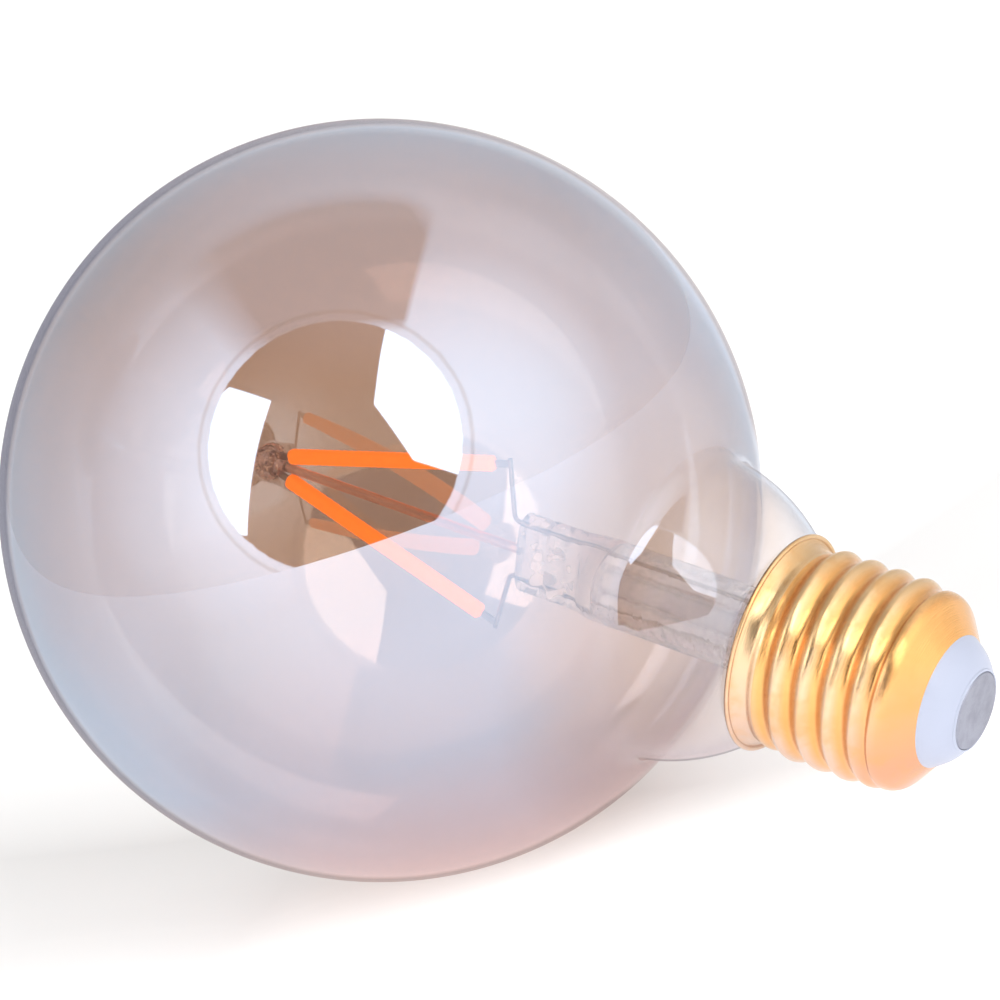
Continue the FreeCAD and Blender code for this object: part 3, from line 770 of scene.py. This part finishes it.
def rod_glass():
    """Drawn glass with an amber cast. Its bead is paler, with dark specks and painted pale glints in it."""
    stem = bpy.context.scene.bulb_stem
    shader, place, colours = new_finish("rod_glass")
    waves = shader.noise(place, scale=420.0, detail=2.0)
    bead_end = stem.bead_centre + stem.bead_length / 2
    bead = shader.below(shader.dot(place, lengthwise), bead_end, softness=0.001)
    dark = shader.noise(place, scale=1300.0, roughness=0.6)
    specks = shader.step(dark, edge=0.60, softness=0.06) * bead
    cast = shader.mix(bead, colours.rod, colours.bead)
    glass = shader.principled(
        base_color=shader.mix(specks, cast, colours.bead_speck),
        roughness=bead * 0.15 + 0.03,
        ior=1.47,
        transmission_weight=0.95,
        normal=shader.bump(waves + specks, distance=0.0003, strength=0.6),
    )
    # Painted glints: a pale opaque surface mixed in over the bead.
    painted_glint = shader.principled(
        base_color=shader.mix(waves, colours.bead_painted_glint, colours.bead_painted_highlight),
        roughness=waves * 0.2 + 0.1,
    )
    pale = shader.noise(place, scale=1900.0, detail=2.0, roughness=0.6)
    marked = shader.step(pale, edge=0.62, softness=0.05) * bead * 0.8
    return shader.finish(shader.blend(marked, glass, painted_glint))


def strip_coat():
    """Orange silicone over the chips: a little paler between the chips, with a faint painted glow."""
    strip = bpy.context.scene.bulb_strip
    shader, place, colours = new_finish("strip_coat")
    shader.owner.cycles.emission_sampling = "NONE"
    turns = shader.dot(shader.place("UV"), (0, 1, 0)) * (2 * np.pi * strip.length / strip.chip_pitch)
    chips = shader.add("ShaderNodeMath", {"operation": "COSINE"}, {0: turns})
    grain = shader.noise(place, scale=900.0)
    return shader.finish(shader.principled(
        base_color=shader.mix(chips * 0.2 + grain * 0.6, colours.strip, shaded(colours.strip, 0.86)),
        roughness=grain * 0.2 + 0.32,
        # Painted glow on the coat.
        emission_color=shader.mix(grain, colours.strip_painted_glow, shaded(colours.strip_painted_glow, 0.9)),
        emission_strength=1.5,
        normal=shader.bump(grain, distance=0.00008, strength=0.5),
    ))


def wire_metal():
    """Drawn nickel wire, with faint marks along it."""
    shader, place, colours = new_finish("wire_metal")
    marks = shader.noise(place, scale=1500.0, detail=2.0)
    return shader.finish(shader.principled(
        base_color=shader.mix(marks, shaded(colours.wire, 0.6), colours.wire),
        metallic=1.0,
        roughness=marks * 0.2 + 0.22,
        normal=shader.bump(marks, distance=0.00003, strength=0.4),
    ))


def gold_metal():
    """Gold-coloured sheet, rolled to a thread and finely marked along it.

    Painted reflection makes it redder in the valleys, peach on the lower side and orange on the lower side
    of the shoulder. It has worn patches and a dark stain on the rim.
    """
    cap = bpy.context.scene.bulb_cap
    rim = lamp_heights().rim
    shader, place, colours = new_finish("gold_metal")
    height = shader.dot(place, lengthwise)
    surface = shader.stretched(shader.place("UV"), (9, 620, 1))
    rolled = shader.noise(surface, scale=1.0, detail=4.0, roughness=0.6)
    stain = shader.noise(place, scale=180.0, detail=4.0, roughness=0.65)
    crest = shader.add("ShaderNodeAttribute", {"attribute_name": "crest"}, {}, "Fac")
    # Painted reflection: peach on the lower side, orange on the lower side of the shoulder.
    painted_floor_reflection = shader.step(shader.dot(place, downward), edge=-0.001, softness=0.014) * 0.85
    shoulder = shader.step(height, rim + cap.orange_start, softness=0.005)
    stained_rim = shader.below(height, rim + cap.wall, softness=0.0003) * (stain * 0.8 + 0.2)
    tone = shader.mix(painted_floor_reflection, colours.gold, colours.gold_peach_reflection)
    # Painted reflection: redder in the thread's valleys.
    tone = shader.mix(shader.step(crest, edge=0.45, softness=0.7), colours.gold_valley_reflection, tone)
    tone = shader.mix(painted_floor_reflection * shoulder, tone, colours.gold_orange_reflection)
    tone = shader.mix(shader.step(stain, edge=0.58, softness=0.2) * 0.55, tone, colours.gold_worn)
    return shader.finish(shader.principled(
        base_color=shader.mix(stained_rim, tone, colours.gold_stain),
        metallic=0.85,
        roughness=rolled * 0.08 + stain * 0.06 + 0.03,
        normal=shader.bump(rolled + stain * 0.6, distance=0.00006, strength=0.5),
    ))


def glazed_white():
    """The insulator: a bluish white glaze with a fine grain."""
    shader, place, colours = new_finish("glazed_white")
    cloud = shader.noise(place, scale=220.0, detail=4.0)
    grain = shader.noise(place, scale=1100.0)
    return shader.finish(shader.principled(
        base_color=shader.mix(cloud, colours.insulator, shaded(colours.insulator, 1.08)),
        roughness=cloud * 0.2 + 0.25,
        normal=shader.bump(grain, distance=0.00004, strength=0.4),
    ))


def tinned_metal():
    """The contact: dull tin with turned marks and small scuffs."""
    shader, place, colours = new_finish("tinned_metal")
    surface = shader.stretched(shader.place("UV"), (3, 160, 1))
    turned = shader.noise(surface, scale=1.0, roughness=0.6)
    scuff = shader.noise(place, scale=500.0, detail=4.0, roughness=0.6)
    scuffed = shader.step(scuff, edge=0.58, softness=0.3) * 0.6
    return shader.finish(shader.principled(
        base_color=shader.mix(scuffed, colours.contact, shaded(colours.contact, 0.7)),
        metallic=1.0,
        roughness=turned * 0.15 + scuff * 0.15 + 0.24,
        normal=shader.bump(turned + scuff, distance=0.00004, strength=0.5),
    ))


def grained(name, first, second, scale, roughness):
    """A plain finish for the pieces inside the cap: two tones in a fine grain."""
    shader, place, _ = new_finish(name)
    grain = shader.noise(place, scale, detail=4.0, roughness=0.6)
    return shader.finish(shader.principled(
        base_color=shader.mix(grain, first, second),
        roughness=grain * 0.2 + roughness,
        normal=shader.bump(grain, distance=0.00005, strength=0.5),
    ))


def dress_nodes(material, *nodes):
    """Gives solids that stay as they are a finish of their own."""
    for name in nodes:
        slots = frame["nodes"][name].data.materials
        slots.clear()
        slots.append(material)


# Studio

def camera_basis():
    """The camera's right, up and backward directions, from its azimuth, elevation and roll."""
    studio = bpy.context.scene.bulb_studio
    azimuth = studio.azimuth
    elevation = studio.elevation
    back = np.array([
        math.sin(azimuth) * math.cos(elevation),
        -math.cos(azimuth) * math.cos(elevation),
        math.sin(elevation),
    ])
    level = np.array([math.cos(azimuth), math.sin(azimuth), 0])
    right = level * math.cos(studio.roll) + np.cross(back, level) * math.sin(studio.roll)
    return np.stack([right, np.cross(back, right), back])


def from_camera(direction):
    """A direction given as right, up and backward of the camera, in the scene's coordinates."""
    return np.array(direction) @ camera_basis()


def inside_corners(shader, way, corners, softness):
    """1 inside a panel with straight edges, seen from the lamp, and 0 outside it.

    corners are directions from the lamp, as right, up and backward of the camera. Each edge lies in the
    plane through the lamp and two corners, so a direction is inside where it lies on the inner side of
    every such plane. softness is one value, or one for each edge.
    """
    directions = from_camera(corners)
    directions /= np.linalg.norm(directions, axis=1, keepdims=True)
    middle = directions.mean(0)
    sides = []
    each_softness = np.broadcast_to(softness, len(directions))
    for a, b, soft in zip(directions, np.roll(directions, -1, 0), each_softness):
        normal = np.cross(a, b)
        normal *= np.sign(normal @ middle) / np.linalg.norm(normal)
        sides.append(shader.step(shader.dot(way, normal), edge=0.0, softness=soft))
    return math.prod(sides)


def tent_light(shader, way):
    """Brightness of the white tent by the direction from the lamp, most of all round its opening.

    A power of the reach towards the camera, plus a soft step straight behind the lamp and a few soft
    patches, less a faint shade low behind the lamp. On the table, the patches are painted pools of light
    and the shade is a painted shadow.
    """
    studio = bpy.context.scene.bulb_studio
    front = shader.dot(way, from_camera((0, 0, 1)))
    light = shader.step(front, edge=0.1, softness=1.4) ** 1.5 * studio.tent_front + studio.tent_side
    light = light + shader.below(front, edge=-0.88, softness=0.14) * studio.tent_behind
    patches = (
        ((0.50, 0.50, 0.71), 0.5),
        ((0.80, 0.55, 0.10), 0.3),
        ((0.15, 0.85, -0.50), 0.25),
        ((-0.72, 0.26, 0.64), 0.5),
        ((0.82, 0.0, -0.57), 0.35),
        ((-0.85, -0.35, -0.40), 0.3),
        ((-0.30, -0.70, 0.65), -0.15),
        ((-0.25, -0.90, -0.35), 0.15),
    )
    for patch, gain in patches:
        light = light + shader.step(shader.dot(way, from_camera(patch)), edge=0.84, softness=0.32) * gain
    behind = shader.dot(way, from_camera((0.06, -0.25, -0.966)))
    # Painted shadow low behind the lamp, on the table.
    return light - shader.step(behind, edge=0.965, softness=0.04) * studio.painted_shadow_behind


def pale_floor():
    """A matt white table, lit from below as brightly as the tent that it runs into, with a faint cloud."""
    colours = bpy.context.scene.bulb_colours
    studio = bpy.context.scene.bulb_studio
    shader = Shader(bpy.data.materials.new("pale_floor"))
    shader.owner.cycles.emission_sampling = "NONE"
    place = shader.place("Object")
    offset = shader.add("ShaderNodeVectorMath", {"operation": "SUBTRACT"}, {0: place, 1: globe_centre()})
    way = shader.add("ShaderNodeVectorMath", {"operation": "NORMALIZE"}, {0: offset})
    # Painted pool of light on the table under the lamp.
    under = shader.dot(way, (0, 0, -1)) * studio.painted_light_under
    # The table's light follows the tent's, so its patches lie on the table as painted pools of light.
    lit = tent_light(shader, way) + under - colours.floor[0]
    most = 4.0
    return shader.finish(shader.principled(
        base_color=shader.mix(shader.noise(place, scale=6.0), colours.floor, shaded(colours.floor, 0.985)),
        roughness=0.9,
        emission_color=shader.mix(lit / most, (0, 0, 0), white),
        emission_strength=most,
    ))


def studio_world():
    """The white tent round the lamp, with a grey panel above and a ragged round opening in a grey hem.

    Two bright panels show in the opening, and round them a dark room that is paler upwards. The paths find
    this light by themselves, and the floor's too, because rays aimed at it through the glass are slow.
    """
    studio = bpy.context.scene.bulb_studio
    world = bpy.data.worlds.new("studio")
    world.cycles.sampling_method = "NONE"
    shader = Shader(world)
    way = shader.place("Generated")
    panel_corners = (
        (0.12, 0.80, 0.59), (0.18, 0.98, -0.04), (0.10, 0.965, -0.245),
        (-0.16, 0.95, -0.27), (-0.61, 0.76, -0.24), (-0.55, 0.65, 0.52),
    )
    panel = inside_corners(shader, way, panel_corners, softness=(0.03, 0.1, 0.2, 0.2, 0.2, 0.08))
    tent = tent_light(shader, way) * (1 - panel) + panel * studio.panel

    lean = math.sin(studio.opening_lean)
    opening_way = from_camera((-0.62 * lean, 0.786 * lean, math.cos(studio.opening_lean)))
    opening_way /= np.linalg.norm(opening_way)
    ragged = (shader.noise(way, scale=16.0) - 0.5) * 0.010
    reach = shader.dot(way, opening_way) + ragged
    opening = shader.step(reach, math.cos(studio.opening_reach), softness=0.006)
    hem_outside = shader.step(reach, math.cos(studio.hem_outside), softness=0.008)
    hem_inside = shader.step(reach, math.cos(studio.hem_inside), softness=0.008)
    tent = tent * (1 - (hem_outside - hem_inside) * studio.hem_shade)

    left_corners = ((-1.23, 0.93, 1), (-0.70, 0.65, 1), (-0.82, -0.22, 1), (-1.6, -0.24, 1), (-1.9, 0.6, 1))
    right_corners = (
        (0.02, 1.01, 1), (-0.02, 0.54, 1), (0.19, 0.21, 1), (0.6, 0.10, 1), (1.2, 0.6, 1), (0.1, 1.6, 1),
    )
    left_window = inside_corners(shader, way, left_corners, softness=0.01)
    right_window = inside_corners(shader, way, right_corners, softness=0.01)
    windows = shader.clamp(left_window + right_window)
    upward = shader.step(shader.dot(way, from_camera((0, 1, 0))), edge=0.72, softness=0.3)
    room = windows * studio.window + (1 - windows) * (upward * studio.room_above + studio.opening)
    light = tent * (1 - opening) + opening * room
    background = shader.add("ShaderNodeBackground", {}, {"Color": studio.light_tint, "Strength": light})
    shader.add("ShaderNodeOutputWorld", {}, {"Surface": background})
    return world


# Operators

class BULB_OT_globe(bpy.types.Operator):
    """Blow the globe: two walls from pole to tail, coated outside and bare inside"""

    bl_idname = "bulb.globe"
    bl_label = "Blow the globe"

    def execute(self, context):
        outside = glass_profile(inset=0, counts=(120, 14, 40, 6))
        inside = glass_profile(inset=context.scene.bulb_glass.wall, counts=(80, 8, 24, 4))
        profile = np.concatenate([outside, inside[::-1]])
        finish_rows = (np.arange(len(profile)) >= len(outside)).astype(np.int32)
        grid = revolved(profile, columns=256)
        finishes = [coated_glass(), bare_glass()]
        add_piece("globe_glass", "glass_globe", grid, finishes, finish_rows=finish_rows)
        return {"FINISHED"}


class BULB_OT_cap(bpy.types.Operator):
    """Roll the cap: its profile turned round the axis, with a wave along a helix for the thread"""

    bl_idname = "bulb.cap"
    bl_label = "Roll the cap"

    def execute(self, context):
        cap = context.scene.bulb_cap
        rim = lamp_heights().rim
        outside = cap_profile(inset=0, thread_rows=110)
        inside = cap_profile(inset=cap.wall, thread_rows=12)
        bead_centre = (cap.rim_radius - cap.rim_bead, rim + cap.rim_bead)
        bead_start = -0.75 * np.pi
        bead_end = 0.8 * np.pi
        outline = np.concatenate([arc(bead_centre, cap.rim_bead, bead_start, bead_end, 18), outside])
        profile = np.concatenate([outline, inside[::-1]])
        angle = around(columns=288)
        radius = profile[:, 0, None] + 0 * angle
        height = profile[:, 1, None] + 0 * angle
        rise = cap.thread_crest - cap.thread_root
        wave = thread_wave(height, angle)
        wave[len(outline):] = 0
        radius = np.where(wave > 0, np.maximum(radius, cap.thread_root + rise * wave), radius)
        grid = turned(radius, height, angle)
        # crest marks the valleys for the gold's painted reflection.
        risen = np.clip((radius - cap.thread_root) / rise, 0, 1)
        crest = np.where(height > rim + cap.flare_height, risen, 1)
        add_piece(
            "rolled_cap", "screw_shell", grid, [gold_metal()],
            ring=True, crest=crest, sharp=60,
        )
        return {"FINISHED"}


class BULB_OT_insulator(bpy.types.Operator):
    """Press the insulator: a plug under the shoulder and a cone that bulges by a sine along its slope"""

    bl_idname = "bulb.insulator"
    bl_label = "Press the insulator"

    def execute(self, context):
        cap = context.scene.bulb_cap
        heights = lamp_heights()
        floor = heights.mouth - cap.insulator_depth
        seat = heights.face - cap.contact_thickness
        end = heights.face - cap.contact_stand
        recess = cap.contact_radius + cap.contact_gap
        plug = cap_profile(inset=cap.wall, thread_rows=12)
        plug = plug[plug[:, 1] > floor]
        cone_end = (cap.insulator_end, end - cap.insulator_edge)
        cone_rows = 24
        cone = straight((cap.mouth_radius, heights.mouth), cone_end, cone_rows)
        bulge = np.sin(np.linspace(0, np.pi, cone_rows)) * cap.insulator_bulge
        cone = cone + bulge[:, None] * math.sqrt(0.5)
        edge_centre = (cap.insulator_end - cap.insulator_edge, end - cap.insulator_edge)
        edge = arc(edge_centre, cap.insulator_edge, 0, np.pi / 2, 8)
        profile = np.concatenate([
            straight((cap.shank_radius, floor), (plug[0, 0], floor), 6),
            plug,
            cone,
            edge[1:],
            straight((recess, end), (recess, seat), 3),
            straight((recess, seat), (cap.shank_radius, seat), 6)[1:],
            straight((cap.shank_radius, seat), (cap.shank_radius, floor), 4)[1:-1],
        ])
        grid = revolved(profile, columns=160)
        add_piece("insulator_cone", "cap_insulator", grid, [glazed_white()], ring=True)
        return {"FINISHED"}


class BULB_OT_contact(bpy.types.Operator):
    """Turn the contact: a disc with a rounded edge on its shank"""

    bl_idname = "bulb.contact"
    bl_label = "Turn the contact"

    def execute(self, context):
        cap = context.scene.bulb_cap
        face = lamp_heights().face
        seat = face - cap.contact_thickness
        shank_end = seat - cap.shank_length
        edge_centre = (cap.contact_radius - cap.contact_edge, face - cap.contact_edge)
        profile = joined(
            straight((0, face), (edge_centre[0], face), 14),
            arc(edge_centre, cap.contact_edge, np.pi / 2, 0, 10),
            straight((cap.contact_radius, edge_centre[1]), (cap.contact_radius, seat), 3),
            straight((cap.contact_radius, seat), (cap.shank_radius, seat), 5),
            straight((cap.shank_radius, seat), (cap.shank_radius, shank_end), 6),
            straight((cap.shank_radius, shank_end), (0, shank_end), 3),
        )
        grid = revolved(profile, columns=128)
        add_piece("contact_disc", "centre_contact", grid, [tinned_metal()])
        return {"FINISHED"}


class BULB_OT_stem(bpy.types.Operator):
    """Press the stem: a slot section that becomes a circle, a flare with its lip, and the hole inside"""

    bl_idname = "bulb.stem"
    bl_label = "Press the stem"

    def execute(self, context):
        stem = context.scene.bulb_stem
        tail = tail_radius()
        tail_end = lamp_heights().tail_end
        pinch_end = stem.pinch_face + stem.pinch_length
        floor = pinch_end + stem.pinch_blend
        hole = stem.radius - stem.wall
        bend = tail - stem.lip_width - stem.radius
        lip = (stem.radius + bend, tail_end - bend)
        flat = stem.pinch_thickness / 2
        columns = 192

        edge = np.linspace(0, np.pi / 2, 9)
        end_rows = stem.pinch_face + stem.pinch_edge * (1 - np.sin(edge))
        end_scale = 1 - (1 - np.cos(edge)) * stem.pinch_edge / flat
        press_rows = np.linspace(stem.pinch_face + stem.pinch_edge, pinch_end, 60)[1:]
        blend_rows = np.linspace(pinch_end, floor, 30)[1:]
        flat_scale = np.linspace(0, 1, 10)[:-1] * end_scale[-1]
        heights = np.concatenate([
            np.full(len(flat_scale), stem.pinch_face), end_rows[::-1], press_rows, blend_rows,
        ])
        scale = np.concatenate([flat_scale, end_scale[::-1], np.ones(len(press_rows) + len(blend_rows))])
        rounding = smooth((heights - pinch_end) / stem.pinch_blend)
        angle = around(columns)
        jaw = np.cos(2 * np.pi * (heights - stem.pinch_face) / stem.press_pitch) * stem.press_depth
        pressed = smooth((heights - stem.pinch_face) / stem.press_pitch) * (1 - rounding)
        half_thickness = flat + (stem.radius - flat) * rounding + jaw * pressed
        section = slot_section(stem.radius, half_thickness[:, None], angle[None, :]) * scale[:, None, None]
        pinch = np.concatenate([section, (heights[:, None] + 0 * angle)[:, :, None]], -1)

        flare = joined(
            straight((stem.radius, floor), (stem.radius, lip[1]), 26),
            arc(lip, bend, np.pi, np.pi / 2, 20),
            straight((lip[0], tail_end), (tail, tail_end), 3),
            straight((tail, tail_end), (tail, tail_end + stem.wall), 3),
            straight((tail, tail_end + stem.wall), (lip[0], tail_end + stem.wall), 3),
            arc(lip, bend + stem.wall, np.pi / 2, np.pi, 20),
            straight((hole, lip[1]), (hole, floor + stem.wall), 24),
            arc((hole - stem.wall, floor + stem.wall), stem.wall, 0, -np.pi / 2, 8),
            straight((hole - stem.wall, floor), (0, floor), 6),
        )
        grid = np.concatenate([pinch, revolved(flare, columns)[1:]])
        add_piece("glass_stem", "stem_flare", grid, [clear_glass()], sharp=70)
        return {"FINISHED"}


class BULB_OT_rod(bpy.types.Operator):
    """Draw the rod and bead, merged by the cube root of their cubes' sum, and the domed exhaust tube"""

    bl_idname = "bulb.rod"
    bl_label = "Draw the rod"

    def execute(self, context):
        stem = context.scene.bulb_stem
        half = stem.bead_length / 2
        swing = np.linspace(0, np.pi, 60)
        bead_heights = stem.bead_centre - half * np.cos(swing)
        bead = stem.bead_radius * np.sin(swing)
        rod = np.where(swing > np.pi / 2, stem.rod_radius, 0)
        merged = (bead ** 3 + rod ** 3) ** (1 / 3)
        rod_start = (stem.rod_radius, stem.bead_centre + half)
        profile = np.concatenate([
            np.stack([merged, bead_heights], -1),
            straight(rod_start, (stem.rod_radius, stem.pinch_face), 60)[1:],
            [(0, stem.pinch_face)],
        ])
        grid = revolved(profile, columns=48)
        add_piece("glass_rod", "support_rod", grid, [rod_glass()], sharp=70)

        floor = stem.pinch_face + stem.pinch_length + stem.pinch_blend
        hole = stem.exhaust_radius - stem.exhaust_wall
        shoulder = stem.exhaust_end - stem.exhaust_tip
        inner_shoulder = shoulder - stem.exhaust_wall
        tube = np.concatenate([
            dome(stem.exhaust_radius, stem.exhaust_tip, shoulder, 20)[::-1],
            straight((stem.exhaust_radius, shoulder), (stem.exhaust_radius, floor), 30)[1:],
            straight((hole, floor), (hole, inner_shoulder), 30),
            dome(hole, hole, inner_shoulder, 20)[1:],
        ])
        grid = revolved(tube, columns=64)
        add_piece("exhaust_glass", "exhaust_tube", grid, [clear_glass()], sharp=70)
        return {"FINISHED"}


class BULB_OT_strips(bpy.types.Operator):
    """Coat the two light strips: a rounded oblong section carried along each strip"""

    bl_idname = "bulb.strips"
    bl_label = "Coat the strips"

    def execute(self, context):
        finishes = [strip_coat()]
        for way, side in ((1, "upper"), (-1, "lower")):
            grid = strip_grid(way, columns=40)
            add_piece(f"strip_{side}", f"filament_{side}", grid, finishes, sharp=70)
        return {"FINISHED"}


class BULB_OT_wires(bpy.types.Operator):
    """Give the leads, tabs and wires their drawn metal"""

    bl_idname = "bulb.wires"
    bl_label = "Finish the wires"

    def execute(self, context):
        kinds = ("tabs", "inner_lead", "outer_lead")
        pairs = [f"{kind}_{side}" for kind in kinds for side in ("upper", "lower")]
        dress_nodes(wire_metal(), "hub_link", "live_wire", "neutral_wire", *pairs)
        return {"FINISHED"}


class BULB_OT_driver(bpy.types.Operator):
    """Give the driver in the cap and the cement their finishes"""

    bl_idname = "bulb.driver"
    bl_label = "Finish the driver"

    def execute(self, context):
        cement = grained("cement", (0.78, 0.74, 0.66), (0.62, 0.58, 0.50), scale=700.0, roughness=0.7)
        board = grained("board", (0.12, 0.28, 0.16), (0.16, 0.36, 0.20), scale=900.0, roughness=0.35)
        chip = grained("chip_black", (0.02, 0.02, 0.022), (0.05, 0.05, 0.052), scale=1600.0, roughness=0.5)
        can = grained("can_metal", (0.10, 0.10, 0.12), (0.16, 0.16, 0.18), scale=300.0, roughness=0.3)
        coat = grained("resistor_coat", (0.35, 0.52, 0.55), (0.28, 0.44, 0.48), scale=600.0, roughness=0.4)
        dress_nodes(cement, "cap_cement")
        dress_nodes(board, "driver_board")
        dress_nodes(chip, "bridge_rectifier", "driver_chip")
        dress_nodes(can, "smoothing_capacitor")
        dress_nodes(coat, "fuse_resistor")
        return {"FINISHED"}


class BULB_OT_stage(bpy.types.Operator):
    """Set the floor, the studio light and the camera"""

    bl_idname = "bulb.stage"
    bl_label = "Set the stage"

    def execute(self, context):
        scene = context.scene
        studio = scene.bulb_studio
        angle = around(columns=96)
        rings = np.array([0.05, 0.2, 0.6, 1])[:, None] * studio.floor_radius
        flat = turned(rings, 0, angle)
        index = np.arange(flat[:, :, 0].size).reshape(flat.shape[:2])
        right = np.roll(index, -1, 1)
        faces = np.stack([index[:-1], index[1:], right[1:], right[:-1]], -1).reshape(-1, 4).tolist()
        mesh = bpy.data.meshes.new("floor")
        mesh.from_pydata(flat.reshape(-1, 3), [], faces + [index[0].tolist()])
        mesh.materials.append(pale_floor())
        floor = bpy.data.objects.new("floor", mesh)
        scene.collection.objects.link(floor)

        scene.world = studio_world()
        basis = camera_basis()
        camera = bpy.data.objects.new("camera", bpy.data.cameras.new("camera"))
        camera.data.lens = studio.lens
        camera.data.clip_start = 0.01
        place = globe_centre() + np.array(studio.aim) + basis[2] * studio.distance
        camera.matrix_world = Matrix.LocRotScale(place, Matrix(basis.T.tolist()).to_quaternion(), None)
        scene.collection.objects.link(camera)
        scene.camera = camera
        scene.view_settings.view_transform = "Standard"
        scene.cycles.max_bounces = 24
        scene.cycles.glossy_bounces = 12
        scene.cycles.transmission_bounces = 20
        scene.cycles.transparent_max_bounces = 40
        return {"FINISHED"}


class BULB_PT_pieces(bpy.types.Panel):
    """Lists the steps that dress the bulb"""

    bl_idname = "BULB_PT_pieces"
    bl_label = "Globe bulb"
    bl_space_type = "VIEW_3D"
    bl_region_type = "UI"
    bl_category = "Bulb"

    def draw(self, context):
        for operator in operators:
            self.layout.operator(operator.bl_idname)


operators = (
    BULB_OT_globe, BULB_OT_cap, BULB_OT_insulator, BULB_OT_contact, BULB_OT_stem,
    BULB_OT_rod, BULB_OT_strips, BULB_OT_wires, BULB_OT_driver, BULB_OT_stage,
)
groups = {
    "bulb_glass": GlassSizes,
    "bulb_coat": CoatSettings,
    "bulb_cap": CapSizes,
    "bulb_stem": StemSizes,
    "bulb_strip": StripSizes,
    "bulb_colours": FinishColours,
    "bulb_studio": StudioSettings,
}


def register():
    for name, group in groups.items():
        bpy.utils.register_class(group)
        setattr(bpy.types.Scene, name, PointerProperty(type=group))
    for cls in (*operators, BULB_PT_pieces):
        bpy.utils.register_class(cls)


def unregister():
    for cls in (BULB_PT_pieces, *reversed(operators)):
        bpy.utils.unregister_class(cls)
    for name, group in groups.items():
        delattr(bpy.types.Scene, name)
        bpy.utils.unregister_class(group)


def main():
    register()
    for operator in operators:
        group, name = operator.bl_idname.split(".")
        getattr(getattr(bpy.ops, group), name)()


if __name__ == "__main__":
    main()
